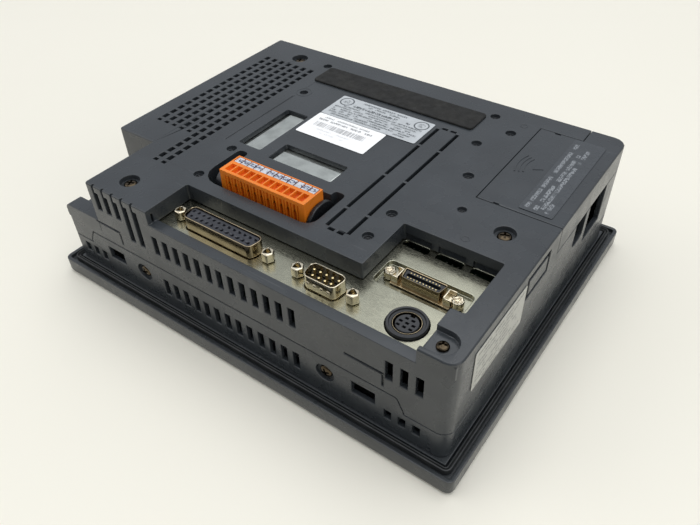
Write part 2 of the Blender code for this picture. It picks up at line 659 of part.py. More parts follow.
def blank_outline():
    """The rectangular frame in the right wall, in Y and Z."""
    return rectangle(-25.4, TOP - 15.0, -4.8, TOP - 3.7, 0.8)


def build_blank(finish):
    """The blanking plate in the right wall, in the middle of its sunk frame."""
    plate = inset(blank_outline(), 2.0)
    make("side_blank", prism(rounded(plate), -0.9, 0.0, along="X"), finish["slate"],
         at=(RIGHT, 0, 0))


# ------------------------------------------------------------------ card cover

def build_card_cover(finish):
    """The sliding cover over the card opening. It moves along +X."""
    outline = card_outline()
    cover = make("card_cover", prism(rounded(outline), COVER_SKIRT_BOTTOM, TOP), finish["slate"])
    soften(cover, 0.7, 2, lambda edge: at_height(TOP)(edge) and outer_edge(edge))
    room = rectangle(COVER_LEFT - OUTSIDE, COVER_FRONT - OUTSIDE, RIGHT - COVER_THICKNESS,
                     BACK - COVER_THICKNESS, 0)
    room[2] = (*room[2][:2], CORNER_ROUND - COVER_THICKNESS)
    cut(cover, prism(rounded(room), COVER_SKIRT_BOTTOM - OUTSIDE, TOP - COVER_THICKNESS))
    notches = [block(COVER_LEFT + 7.0, COVER_FRONT - 1, TOP - 1, COVER_LEFT + 9.6,
                     COVER_FRONT + 0.9, TOP + 1),
               block(COVER_LEFT + 7.0, COVER_STEP_Y - 0.9, TOP - 1, COVER_LEFT + 9.6,
                     COVER_STEP_Y + 1, TOP + 1)]
    cut(cover, blocks(notches))


def outer_edge(edge):
    """True for the top edges on the body's own outer faces."""
    middle = (edge.verts[0].co + edge.verts[1].co) / (2 * MM)
    return middle.x > RIGHT - CORNER_ROUND and middle.y > COVER_FRONT + 1 or middle.y > BACK - 1


# ------------------------------------------------------------------ metalwork and boards

def build_connector_plate(finish):
    """The plated sheet that carries the ports, with the printer port's sunk tray."""
    front = FRONT + WALL + GAP
    side = SKIRT + 0.6
    outline = [
        (WELL_LEFT - side, front, 0), (WELL_CORNER + side - 1, front, 0),
        (WELL_CORNER + side - 1, WELL_CORNER_BACK - 1, 0), (WELL_RIGHT + side, WELL_CORNER_BACK - 1, 0),
        (WELL_RIGHT + side, WELL_STEP_BACK + side, 0), (WELL_STEP - side, WELL_STEP_BACK + side, 0),
        (WELL_STEP - side, WELL_BACK + side, 0), (WELL_LEFT - side, WELL_BACK + side, 0),
    ]
    plate = make("connector_plate", prism(rounded(outline), PLATE_UNDER, PLATE_TOP), finish["steel"])
    x0, x1 = PRINTER_X - TRAY_LENGTH / 2, PRINTER_X + TRAY_LENGTH / 2
    y0, y1 = PRINTER_Y - TRAY_WIDTH / 2, PRINTER_Y + TRAY_WIDTH / 2
    tray = rectangle(x0, y0, x1, y1, 2.0)
    low = PLATE_UNDER - TRAY_DEPTH
    fuse(plate, prism(rounded(inset(tray, -PLATE_THICKNESS)), low, PLATE_TOP - 0.2))
    cut(plate, prism(rounded(tray), low + PLATE_THICKNESS, PLATE_TOP + OUTSIDE))
    through = (low - 1, PLATE_TOP + 1)
    ports = []
    for ways, x in ((25, SERIAL_X), (9, DATA_X)):
        shell = placed(rounded(d_shape(PORTS[ways], GAP + 0.1)), x, PORT_Y)
        ports.append(prism(shell, *through))
        for side_x in (-1, 1):
            ports.append(prism(circle(x + side_x * PORTS[ways]["screws"] / 2, PORT_Y,
                                      JACK_SHANK + GAP, 12), *through))
    ports.append(prism(circle(TOOL_X, TOOL_Y, TOOL_RADIUS + GAP, 24), *through))
    ports += [block(x - HOOK_SLOT_LENGTH / 2, WELL_STEP_BACK - HOOK_SLOT_WIDTH, PLATE_UNDER - 1,
                    x + HOOK_SLOT_LENGTH / 2, WELL_STEP_BACK + 0.4, PLATE_TOP + 1)
              for x in HOOK_SLOTS]
    ports.append(prism(placed(rounded(printer_outline(GAP)), PRINTER_X, PRINTER_Y), *through))
    cut(plate, blocks(ports))


def build_boards(finish):
    """The main board, the power board under the vents, and what stands on them."""
    low = BOARD_TOP - BOARD_THICKNESS
    side = WALL + 2.0
    notch = LEFT + NOTCH_LENGTH + side
    outline = [
        (notch, FRONT + side, 0), (RIGHT - side, FRONT + side, 0), (RIGHT - side, 18.0, 0),
        (COVER_LEFT + 18.0, 18.0, 0), (COVER_LEFT + 18.0, COVER_FRONT + 26.0, 0),
        (COVER_LEFT - 7.0, COVER_FRONT + 26.0, 0), (COVER_LEFT - 7.0, BACK - 17.0, 0),
        (notch, BACK - 17.0, 0),
    ]
    make("main_board", prism(rounded(outline), low, BOARD_TOP), finish["board"])
    power = make("power_board", block(LEFT + 6, NOTCH_BACK + 6, 0, -59.5, BACK - 12, BOARD_THICKNESS),
                 finish["board"], at=(0, 0, PARTING + 2.0))
    tall = low - 1.0 - (PARTING + 2.0)
    parts = [block(-92, -20, 0.5, -72, 2, tall - 2), block(-69, -16, 0.5, -61, 20, tall - 6)]
    parts += [prism(circle(-86 + 12 * i, 30, 5, 12), 0.5, tall) for i in range(3)]
    for shape in parts:
        fuse(power, shape)
    inverter = make("backlight_inverter", block(-60, FRONT + 12, 0, 40, FRONT + 32, BOARD_THICKNESS),
                    finish["board"], at=(0, 0, 16.2))
    fuse(inverter, block(-20, FRONT + 15, 0.5, 0, FRONT + 29, 8))
    shield_top = UNDER_TOP - GAP
    shield_front = LOBE_BACK + SKIRT + GAP
    shield = make("shield_plate", block(-48.5, shield_front, shield_top - 1.0, 13.0, 21.0, shield_top),
                  finish["bracket"])
    pad_top = TOP - 1.3
    for pad in (rectangle(-42.6, -17.0, -32.8, 16.6, 0.8), rectangle(-24.2, -19.6, 8.6, -10.4, 0.8)):
        fuse(shield, prism(rounded(pad, 2), shield_top - 0.5, pad_top))
    socket = make("expansion_connector", block(-4.0, -10.7, 0, 4.0, 10.7, 7.0), finish["insert"],
                  at=(COVER_LEFT + 10.0, COVER_FRONT + 14.0, BOARD_TOP + GAP))
    cut(socket, block(-1.5, -8.7, 3.0, 1.5, 8.7, 8.0))
    make("clock_battery", prism(circle(0, 0, 10, 24), 0, 5.0), finish["bracket"],
         at=(10.0, 40.0, BOARD_TOP + GAP))


# ------------------------------------------------------------------ ports

PORTS = {
    25: {"width": 38.3, "height": 7.9, "screws": 47.04, "flange": 53.0, "long_row": 13},
    9: {"width": 16.6, "height": 8.1, "screws": 24.99, "flange": 30.8, "long_row": 5},
}
PORT_FLANGE_WIDTH, PORT_FLANGE = 12.5, 0.8
PORT_SHELL_PROUD = 6.2
PORT_SHELL_WALL = 0.5
PORT_CORNER = 2.4
PORT_SLANT = math.tan(math.radians(10))
PIN_PITCH, ROW_PITCH = 2.77, 2.84
PIN_RADIUS = 0.52
JACK_FLATS, JACK_HEIGHT, JACK_SHANK = 4.8, 4.6, 1.5
PRINTER_LENGTH, PRINTER_DEEP, PRINTER_PROUD = 22.0, 6.0, 3.6


def placed(points, x, y):
    """Points moved to a place."""
    return [Vector((p[0] + x, p[1] + y)) for p in points]


def d_shape(port, spare=0.0):
    """Corners of a D-shaped outline, its long side at the back."""
    half, rise = port["width"] / 2, port["height"] / 2
    lean = PORT_SLANT * port["height"]
    corners = [(-half + lean, -rise, PORT_CORNER), (half - lean, -rise, PORT_CORNER),
               (half, rise, PORT_CORNER), (-half, rise, PORT_CORNER)]
    return inset(corners, -spare)


def pin_places(port):
    """Middles of the contacts: the long row at the back, the short one at the front."""
    rows = ((port["long_row"], ROW_PITCH / 2), (port["long_row"] - 1, -ROW_PITCH / 2))
    return [((i - (count - 1) / 2) * PIN_PITCH, y) for count, y in rows for i in range(count)]


def build_d_port(finish, name, ways, x):
    """A D-shaped port: its metal shell, its moulded insert and its two jackscrews."""
    port = PORTS[ways]
    under = -PLATE_THICKNESS - GAP
    place = (x, PORT_Y, PLATE_TOP)
    half = port["flange"] / 2
    flange = rectangle(-half, -PORT_FLANGE_WIDTH / 2, half, PORT_FLANGE_WIDTH / 2, 1.0)
    shell = make(f"{name}_port_shell", prism(rounded(flange), under - PORT_FLANGE, under),
                 finish["nickel"], at=place)
    fuse(shell, prism(rounded(d_shape(port)), under - PORT_FLANGE / 2, PORT_SHELL_PROUD))
    cut(shell, prism(rounded(d_shape(port, -PORT_SHELL_WALL)), under - OUTSIDE, 2 * OUTSIDE))
    holes = [prism(circle(side * port["screws"] / 2, 0, JACK_SHANK + GAP, 12), under - 2, under + 1)
             for side in (-1, 1)]
    cut(shell, blocks(holes))
    base = GAP - PLATE_THICKNESS - BOARD_DROP
    inner = d_shape(port, -PORT_SHELL_WALL - GAP)
    female = ways == 25
    top = PORT_SHELL_PROUD - 0.5 if female else 0.6
    insert = make(f"{name}_port_insert", prism(rounded(inner), base, top), finish["insert"], at=place)
    contacts = [(circle(px, py, PIN_RADIUS, 8), py) for px, py in pin_places(port)]
    if female:
        cut(insert, blocks([prism(points, top - 3.5, top + 1) for points, _ in contacts]))
    else:
        for points, _ in contacts:
            fuse(insert, prism(points, top - 1, PORT_SHELL_PROUD - 0.8))
    for side, word in ((-1, "left"), (1, "right")):
        hexagon = circle(0, 0, JACK_FLATS / math.sqrt(3), 6)
        jack = make(f"{name}_jackscrew_{word}", prism(hexagon, GAP, JACK_HEIGHT), finish["nickel"],
                    at=(x + side * port["screws"] / 2, PORT_Y, PLATE_TOP))
        fuse(jack, prism(circle(0, 0, JACK_SHANK, 10), under - 3.0, GAP + 0.5))
        cut(jack, prism(circle(0, 0, 1.25, 10), 1.2, JACK_HEIGHT + 1))


def printer_outline(spare=0.0):
    """Corners of the ribbon-contact port's outline."""
    half, deep = PRINTER_LENGTH / 2, PRINTER_DEEP / 2
    corners = [(-half + 1.2, -deep, 1.0), (half - 1.2, -deep, 1.0), (half, deep, 1.0),
               (-half, deep, 1.0)]
    return inset(corners, -spare)


def build_printer_port(finish):
    """The twenty-way ribbon-contact port in its tray, with its two fixing screws."""
    floor = -TRAY_DEPTH
    place = (PRINTER_X, PRINTER_Y, PLATE_TOP)
    shell = make("printer_port_shell", prism(rounded(printer_outline()), floor - 3.5, PRINTER_PROUD),
                 finish["nickel"], at=place)
    cut(shell, prism(rounded(printer_outline(-PORT_SHELL_WALL)), floor - OUTSIDE, 2 * OUTSIDE))
    base = GAP - PLATE_THICKNESS - BOARD_DROP
    insert = make("printer_port_insert",
                  prism(rounded(printer_outline(-PORT_SHELL_WALL - GAP)), base, PRINTER_PROUD - 0.5),
                  finish["insert"], at=place)
    mouth = rectangle(-8.4, -1.3, 8.4, 1.3)
    cut(insert, prism(rounded(mouth), PRINTER_PROUD - 4.0, PRINTER_PROUD + 1))
    for side, word in ((-1, "left"), (1, "right")):
        post = make(f"printer_port_screw_{word}", prism(circle(0, 0, 2.4, 14), floor + GAP, 1.6),
                    finish["nickel"], at=(PRINTER_X + side * 14.2, PRINTER_Y, PLATE_TOP))
        cut(post, block(-0.4, -1.6, 0.9, 0.4, 1.6, 2.0), block(-1.6, -0.4, 0.9, 1.6, 0.4, 2.0))


def build_tool_port(finish):
    """The round tool port: its collar and the insert with eight contacts and a key."""
    base = GAP - PLATE_THICKNESS - BOARD_DROP
    place = (TOOL_X, TOOL_Y, PLATE_TOP)
    collar = make("tool_port_shell", prism(circle(0, 0, TOOL_RADIUS, 32), base, 1.2),
                  finish["insert"], at=place)
    cut(collar, prism(circle(0, 0, TOOL_BORE, 24), base - 1, 2.0))
    insert = make("tool_port_insert", prism(circle(0, 0, TOOL_CORE, 24), base, 0.4),
                  finish["insert"], at=place)
    rows = ((2, 2.0), (3, -0.1), (3, -2.2))
    holes = [prism(circle((i - (count - 1) / 2) * 2.4, y, 0.5, 8), -3.0, 1.0)
             for count, y in rows for i in range(count)]
    holes.append(block(-0.9, 3.3, -3.0, 0.9, 6.0, 1.0))
    cut(insert, blocks(holes))


# ------------------------------------------------------------------ supply plug

def build_plug(finish):
    """The header, the twelve-pole plug that pulls off it, and the plug's marker strip."""
    middle_x, middle_y = (PLUG_LEFT + PLUG_RIGHT) / 2, (PLUG_FRONT + PLUG_BACK) / 2
    half_x, half_y = (PLUG_RIGHT - PLUG_LEFT) / 2, (PLUG_BACK - PLUG_FRONT) / 2
    base = BOARD_TOP + GAP
    place = (middle_x, middle_y, base)
    header = make("power_header", block(-half_x, -half_y, 0, half_x, half_y, HEADER_HEIGHT),
                  finish["insert"], at=place)
    slim_x, slim_y = half_x - PLUG_STEP, half_y - PLUG_STEP
    cut(header, block(-slim_x - GAP, -slim_y - GAP, 1.5, slim_x + GAP, slim_y + GAP, HEADER_HEIGHT + 1))
    poles = [(i - (POLES - 1) / 2) * POLE_PITCH for i in range(POLES)]
    for x in poles:
        fuse(header, block(x - 0.5, -0.5, 1.0, x + 0.5, 0.5, HEADER_HEIGHT - 1))
    add_lever_ears(header, half_x, half_y)
    plug_low = 1.5 + GAP
    height = TOP + PLUG_PROUD - base
    plug = make("power_plug", block(-half_x, -half_y, HEADER_HEIGHT + GAP, half_x, half_y, height),
                finish["orange"], at=place)
    fuse(plug, block(-slim_x, -slim_y, plug_low, slim_x, slim_y, HEADER_HEIGHT + 1))
    cut(plug, block(-slim_x + 1.0, -0.5 - GAP, plug_low - 1, slim_x - 1.0, 0.5 + GAP, HEADER_HEIGHT + 0.5))
    entries = [block(x - 1.3, -half_y + 2.3, height - 4.5, x + 1.3, -half_y + 6.8, height + 1)
               for x in poles]
    cut(plug, blocks(entries))
    grooves = [block(x - 0.25, -half_y - 1, HEADER_HEIGHT - 1, x + 0.25, -half_y + 0.5, height - 2.5)
               for x in [poles[0] - POLE_PITCH / 2] + [x + POLE_PITCH / 2 for x in poles]]
    cut(plug, blocks(grooves))
    strip = rectangle(-half_x + 0.8, -half_y + 7.9, half_x - 0.8, -half_y + 11.8)
    cut(plug, prism(rounded(strip), height - 0.8, height + 1))
    make("marker_strip", prism(rounded(inset(strip, 0.15)), height - 0.8 + LABEL_GAP, height - 0.1),
         finish["white"], at=place)


def add_lever_ears(header, half_x, half_y):
    """Two ears at each end of the header, bored for a lever's trunnions."""
    reach = GAP + LEVER_THICKNESS + 0.6
    for side in (-1, 1):
        for y in (-half_y + EAR_THICKNESS / 2, half_y - EAR_THICKNESS / 2):
            x0, x1 = sorted((side * (half_x - 0.5), side * (half_x + reach)))
            fuse(header, block(x0, y - EAR_THICKNESS / 2, 0, x1, y + EAR_THICKNESS / 2, EAR_HEIGHT))
        pivot = side * (half_x + GAP + LEVER_THICKNESS / 2)
        bore = circle(pivot, LEVER_PIVOT, LEVER_BAR + GAP, 14)
        cut(header, prism(bore, -half_y - 1, half_y + 1, along="Y"))


def build_levers(finish):
    """The two release levers. Each tilts outwards on the trunnions at its foot."""
    base = BOARD_TOP + GAP
    middle_y = (PLUG_FRONT + PLUG_BACK) / 2
    half_y = (PLUG_BACK - PLUG_FRONT) / 2
    top = TOP + LEVER_PROUD - base - LEVER_PIVOT
    neck = half_y - EAR_THICKNESS - GAP
    for side, word, edge in ((-1, "left", PLUG_LEFT), (1, "right", PLUG_RIGHT)):
        profile = [(-neck, -LEVER_BAR, 0), (neck, -LEVER_BAR, 0), (neck, EAR_HEIGHT - LEVER_PIVOT + 1, 0),
                   (LEVER_RADIUS + 2, EAR_HEIGHT - LEVER_PIVOT + 2.5, 1.0),
                   (LEVER_RADIUS + 2, top, LEVER_RADIUS - 1), (-LEVER_RADIUS + 2, top, LEVER_RADIUS - 1),
                   (-LEVER_RADIUS + 2, EAR_HEIGHT - LEVER_PIVOT + 2.5, 1.0),
                   (-neck, EAR_HEIGHT - LEVER_PIVOT + 1, 0)]
        place = (edge + side * (GAP + LEVER_THICKNESS / 2), middle_y, base + LEVER_PIVOT)
        lever = make(f"lever_{word}",
                     prism(rounded(profile, 6), -LEVER_THICKNESS / 2, LEVER_THICKNESS / 2, along="X"),
                     finish["insert"], at=place)
        fuse(lever, prism(circle(0, 0, LEVER_BAR, 12), -half_y, half_y, along="Y"))


# ------------------------------------------------------------------ small parts

def build_labels(finish):
    """The foam strip and the stuck-on labels."""
    high = TOP + LABEL_GAP
    foam = make("foam_strip", prism(rounded(rectangle(-53.4, BACK - 30.5, 38.9, BACK - 14.2, 2.0)),
                                    high, TOP + 1.0), finish["foam"])
    soften(foam, 0.3, 1, at_height(TOP + 1.0))
    top = high + LABEL_THICKNESS
    make("rating_label", prism(rounded(rectangle(-29.7, 24.2, 22.9, 44.0, 0.8), 2), high, top),
         finish["silver"])
    make("serial_label", prism(rounded(rectangle(-29.6, 4.4, 8.6, 23.9, 0.8), 2), high, top),
         finish["paper"])
    make("notice_label", prism(rounded(rectangle(RIGHT - 19.8, COVER_FRONT + 2.6, RIGHT - 5.6,
                                                 COVER_STEP_Y - 0.8, 0.8), 2), high, top), finish["tint"])
    side = rectangle(FRONT + 12.7, TOP - 24.6, FRONT + 52.0, TOP - 5.2, 0.8)
    make("side_label", prism(rounded(side, 2), LABEL_GAP, LABEL_GAP + LABEL_THICKNESS, along="X"),
         finish["silver"], at=(RIGHT, 0, 0))


def build_screw(finish, name, at, turn=None):
    """A cross-recessed screw whose head's underside is at its origin."""
    screw = make(name, prism(circle(0, 0, SCREW_HEAD, 16), GAP, SCREW_HEAD_HEIGHT),
                 finish["brass"], at=at)
    soften(screw, 0.35, 1, at_height(SCREW_HEAD_HEIGHT))
    fuse(screw, prism(circle(0, 0, SCREW_SHANK, 10), -5.5, GAP + 0.3))
    deep = SCREW_HEAD_HEIGHT - 0.8
    cut(screw, block(-0.45, -1.7, deep, 0.45, 1.7, 3), block(-1.7, -0.45, deep, 1.7, 0.45, 3))
    if turn:
        screw.rotation_euler = turn


def build_screws(finish):
    """The rear cover's screws, the corner screw and the housing's side screws."""
    for index, (x, y) in enumerate(REAR_SCREWS, start=1):
        build_screw(finish, f"rear_screw_{index}", (x, y, TOP - SCREW_RECESS_DEPTH))
    build_screw(finish, "corner_screw", (*CORNER_SCREW, TOP - POCKET_DEPTH))
    number = 1
    for face, into, turn in ((FRONT, SIDE_RECESS, math.pi / 2), (BACK, -SIDE_RECESS, -math.pi / 2)):
        for x in SIDE_SCREWS:
            build_screw(finish, f"housing_screw_{number}", (x, face + into, SIDE_SCREW_Z), (turn, 0, 0))
            number += 1


def clear_scene():
    """Removes what the file opened with."""
    for thing in list(bpy.data.objects):
        bpy.data.objects.remove(thing)


def shade_round_pieces():
    """Smooth shading, with every real corner kept sharp."""
    for thing in bpy.data.objects:
        thing.data.shade_smooth()
        thing.data.set_sharp_from_angle(angle=math.radians(32))


def main():
    """Builds every sub-part."""
    clear_scene()
    finish = finishes()
    build_bezel(finish)
    build_gasket(finish)
    build_display(finish)
    build_housing(finish)
    build_rear_cover(finish)
    build_blank(finish)
    build_card_cover(finish)
    build_connector_plate(finish)
    build_boards(finish)
    build_d_port(finish, "serial", 25, SERIAL_X)
    build_d_port(finish, "data", 9, DATA_X)
    build_printer_port(finish)
    build_tool_port(finish)
    build_plug(finish)
    build_levers(finish)
    build_labels(finish)
    build_screws(finish)
    shade_round_pieces()


main()
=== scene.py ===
"""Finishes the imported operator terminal: softened mouldings, detailed ports, labels and light.

Sizes in the classes are in millimetres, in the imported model's frame, apart from the camera's
and the lamps' places, which are in metres. X runs along the long side, Y towards the back
edge, and Z up from the display's face to the rear face.
"""

import logging
import math
from dataclasses import dataclass, field
from enum import Enum
from typing import Callable, Iterable, Optional, Sequence, Union

import bmesh
import bpy
from bmesh.types import BMEdge, BMesh
from mathutils import Matrix, Vector
from mathutils.bvhtree import BVHTree


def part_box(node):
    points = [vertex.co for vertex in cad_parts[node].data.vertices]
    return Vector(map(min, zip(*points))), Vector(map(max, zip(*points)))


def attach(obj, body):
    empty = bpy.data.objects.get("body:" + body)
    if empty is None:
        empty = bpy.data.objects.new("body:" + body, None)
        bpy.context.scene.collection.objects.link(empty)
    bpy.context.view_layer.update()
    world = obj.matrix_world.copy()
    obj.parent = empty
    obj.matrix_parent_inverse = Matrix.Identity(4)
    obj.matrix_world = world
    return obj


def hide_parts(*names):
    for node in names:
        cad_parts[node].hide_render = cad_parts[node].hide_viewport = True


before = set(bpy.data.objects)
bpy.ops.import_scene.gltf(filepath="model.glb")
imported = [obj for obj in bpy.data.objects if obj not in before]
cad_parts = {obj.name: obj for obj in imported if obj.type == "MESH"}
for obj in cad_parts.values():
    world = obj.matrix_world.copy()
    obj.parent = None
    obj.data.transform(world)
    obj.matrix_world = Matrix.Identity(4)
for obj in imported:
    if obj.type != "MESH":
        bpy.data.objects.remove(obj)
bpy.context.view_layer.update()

MM = 0.001
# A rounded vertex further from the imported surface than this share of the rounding's width was
# thrown off it by the bevel, and is put back.
STRAY = 0.6
# Distances in metres under which vertices are one: in loose triangles, in cut or rounded
# shapes, and at the seams and poles of turned shapes.
LOOSE, CUT, SEAM = 2e-6, 1e-6, 1e-7
# The Mix node's sockets for two colours and their mix.
MIX_FIRST, MIX_SECOND, MIX_RESULT = 6, 7, 2
LOG = logging.getLogger("terminal")
Colour = tuple[float, float, float]
Point = tuple[float, float, float]
Socket = bpy.types.NodeSocket
Value = Union[Socket, float]
EVEN: Point = (1.0, 1.0, 1.0)


class Body(Enum):
    """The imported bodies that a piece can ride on."""

    TERMINAL = "terminal"
    CARD_COVER = "card_cover"
    PLUG = "power_plug"
    LEFT_LEVER = "lever_left"
    RIGHT_LEVER = "lever_right"


class Side(Enum):
    """The two ends of a paired part, with the sign of X towards each."""

    LEFT = -1
    RIGHT = 1

    @property
    def word(self) -> str:
        """The side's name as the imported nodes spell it."""
        return self.name.lower()


# ------------------------------------------------------------------ materials


class NodeGraph:
    """A material's nodes round one Principled shader, with patterns on Object coordinates."""

    def __init__(self, name: str) -> None:
        """Starts an empty material.

        Args:
            name: The finish's name.
        """
        self.material = bpy.data.materials.new(name)
        self.material.use_nodes = True
        self.tree = self.material.node_tree
        self.tree.nodes.clear()
        self.shader = self.add("ShaderNodeBsdfPrincipled")
        output = self.add("ShaderNodeOutputMaterial")
        self.tree.links.new(self.shader.outputs["BSDF"], output.inputs["Surface"])
        self.place: Socket = self.add("ShaderNodeTexCoord").outputs["Object"]

    def add(self, kind: str, **settings: object) -> bpy.types.Node:
        """Adds a node.

        Args:
            kind: The node's type.
            settings: Properties to set on it.

        Returns:
            The new node.
        """
        node = self.tree.nodes.new(kind)
        for key, value in settings.items():
            setattr(node, key, value)
        return node

    def feed(self, target: Socket, value: Union[Value, Colour, Point]) -> None:
        """Links a socket to a target, or sets the target to a constant.

        Args:
            target: The input socket.
            value: A socket, number, colour or vector.
        """
        if isinstance(value, bpy.types.NodeSocket):
            self.tree.links.new(value, target)
        elif isinstance(value, tuple) and len(target.default_value) == 4:
            target.default_value = (*value, 1.0)
        else:
            target.default_value = value

    def put(self, name: str, value: Union[Value, Colour]) -> None:
        """Feeds one of the shader's own inputs.

        Args:
            name: The input's name.
            value: A socket, number or colour.
        """
        self.feed(self.shader.inputs[name], value)

    def mapped(self, scale: Point, shift: Point = (0.0, 0.0, 0.0), turn: float = 0.0) -> Socket:
        """Object coordinates in millimetres, shifted, turned about Z and scaled.

        Args:
            scale: Scale along each axis, per millimetre.
            shift: Point in millimetres that becomes the origin.
            turn: Turn about Z in degrees, after the shift.

        Returns:
            The vector socket.
        """
        moved = self.add("ShaderNodeVectorMath", operation="SUBTRACT")
        self.feed(moved.inputs[0], self.place)
        moved.inputs[1].default_value = [value * MM for value in shift]
        mapping = self.add("ShaderNodeMapping")
        self.feed(mapping.inputs["Vector"], moved.outputs["Vector"])
        mapping.inputs["Rotation"].default_value = (0.0, 0.0, math.radians(turn))
        mapping.inputs["Scale"].default_value = [value / MM for value in scale]
        return mapping.outputs["Vector"]

    def noise(self, size: float, detail: float = 2.0, vector: Optional[Socket] = None,
              rough: float = 0.5) -> Socket:
        """Noise from 0 to 1.

        Args:
            size: Width of one feature, in millimetres of the vector.
            detail: Octaves.
            vector: Coordinates in millimetres, or None for the piece's own.
            rough: Weight of each further octave.

        Returns:
            The noise's factor.
        """
        node = self.add("ShaderNodeTexNoise")
        self.feed(node.inputs["Vector"], vector or self.mapped(EVEN))
        node.inputs["Scale"].default_value = 1.0 / size
        node.inputs["Detail"].default_value = detail
        node.inputs["Roughness"].default_value = rough
        return node.outputs["Fac"]

    def maths(self, operation: str, first: Value, second: Value = 0.0,
              clamp: bool = False) -> Socket:
        """One step of arithmetic.

        Args:
            operation: The Math node's operation.
            first: The first value.
            second: The second value.
            clamp: Whether to keep the answer from 0 to 1.

        Returns:
            The answer.
        """
        node = self.add("ShaderNodeMath", operation=operation, use_clamp=clamp)
        self.feed(node.inputs[0], first)
        self.feed(node.inputs[1], second)
        return node.outputs[0]

    def span(self, value: Value, low: float, high: float, first: float = 0.0,
             last: float = 1.0) -> Socket:
        """Maps low to high onto first to last, clamped.

        Args:
            value: What is mapped.
            low: Value that becomes first.
            high: Value that becomes last.
            first: Answer at low.
            last: Answer at high.

        Returns:
            The mapped value.
        """
        node = self.add("ShaderNodeMapRange", interpolation_type="SMOOTHSTEP")
        for key, number in (("From Min", low), ("From Max", high), ("To Min", first),
                            ("To Max", last)):
            node.inputs[key].default_value = number
        self.feed(node.inputs["Value"], value)
        return node.outputs["Result"]

    def blend(self, share: Value, first: Union[Socket, Colour],
              second: Union[Socket, Colour]) -> Socket:
        """A mix of two colours.

        Args:
            share: How much of the second shows.
            first: The first colour.
            second: The second colour.

        Returns:
            The mixed colour.
        """
        node = self.add("ShaderNodeMix", data_type="RGBA")
        self.feed(node.inputs[0], share)
        self.feed(node.inputs[MIX_FIRST], first)
        self.feed(node.inputs[MIX_SECOND], second)
        return node.outputs[MIX_RESULT]

    def axes(self, shift: Point = (0.0, 0.0, 0.0)) -> tuple[Socket, Socket, Socket]:
        """Object coordinates in millimetres as three numbers.

        Args:
            shift: Point that becomes the origin.

        Returns:
            X, Y and Z.
        """
        node = self.add("ShaderNodeSeparateXYZ")
        self.feed(node.inputs[0], self.mapped(EVEN, shift))
        return node.outputs[0], node.outputs[1], node.outputs[2]

    def bump(self, height: Socket, depth: float, strength: float = 1.0) -> None:
        """Adds relief on top of any the shader already has.

        Args:
            height: Height from 0 to 1.
            depth: Millimetres that 1 stands for.
            strength: Share of the relief that shows.
        """
        node = self.add("ShaderNodeBump")
        node.inputs["Distance"].default_value = depth * MM
        node.inputs["Strength"].default_value = strength
        self.feed(node.inputs["Height"], height)
        normal = self.shader.inputs["Normal"]
        if normal.is_linked:
            self.feed(node.inputs["Normal"], normal.links[0].from_socket)
        self.feed(normal, node.outputs["Normal"])

    def within(self, value: Value, middle: float, half: float, soft: float = 0.08) -> Socket:
        """A band that is 1 near a middle and 0 outside it.

        Args:
            value: The coordinate.
            middle: The band's middle.
            half: Half its width.
            soft: Width of its soft edge.

        Returns:
            The band's mask.
        """
        away = self.maths("ABSOLUTE", self.maths("SUBTRACT", value, middle))
        return self.span(away, half, half + soft, 1.0, 0.0)


@dataclass(frozen=True)
class MouldedPlastic:
    """Fine-grained moulded plastic with faint mottling, rubbed spots and hairline scratches."""

    name: str
    colour: Colour
    roughness: float
    grain: float = 0.45
    grain_depth: float = 0.012
    mottle: float = 0.10
    scratch: float = 0.25
    scratch_colour: Colour = (0.16, 0.165, 0.17)
    specular: float = 0.5

    def build(self) -> bpy.types.Material:
        """Makes the material.

        Returns:
            The material.
        """
        graph = NodeGraph(self.name)
        dark = tuple(value * (1.0 - self.mottle) for value in self.colour)
        light = tuple(value * (1.0 + self.mottle) for value in self.colour)
        cloud = graph.span(graph.noise(22.0, 3.0), 0.3, 0.7)
        colour = graph.blend(cloud, dark, light)
        speck = graph.span(graph.noise(0.6, 1.0), 0.55, 0.8, 0.0, 0.25)
        colour = graph.blend(speck, colour, light)
        hair = self.hairlines(graph)
        colour = graph.blend(graph.maths("MULTIPLY", hair, self.scratch), colour,
                             self.scratch_colour)
        graph.put("Base Color", colour)
        rub = graph.span(graph.noise(9.0, 4.0), 0.35, 0.75, -0.05, 0.06)
        rough = graph.maths("ADD", rub, self.roughness)
        graph.put("Roughness", rough)
        graph.put("Specular IOR Level", self.specular)
        graph.bump(graph.noise(self.grain, 2.0), self.grain_depth)
        return graph.material

    def hairlines(self, graph: NodeGraph) -> Socket:
        """Sparse long scratches in two directions.

        Args:
            graph: The material's nodes.

        Returns:
            Their mask.
        """
        masks = []
        for turn, shift in ((24.0, 0.0), (-61.0, 40.0)):
            vector = graph.mapped((0.05, 1.4, 0.05), (shift, shift, 0.0), turn)
            masks.append(graph.span(graph.noise(1.0, 1.0, vector), 0.735, 0.76))
        sparse = graph.span(graph.noise(30.0, 1.0), 0.5, 0.62)
        return graph.maths("MULTIPLY", graph.maths("MAXIMUM", *masks), sparse)


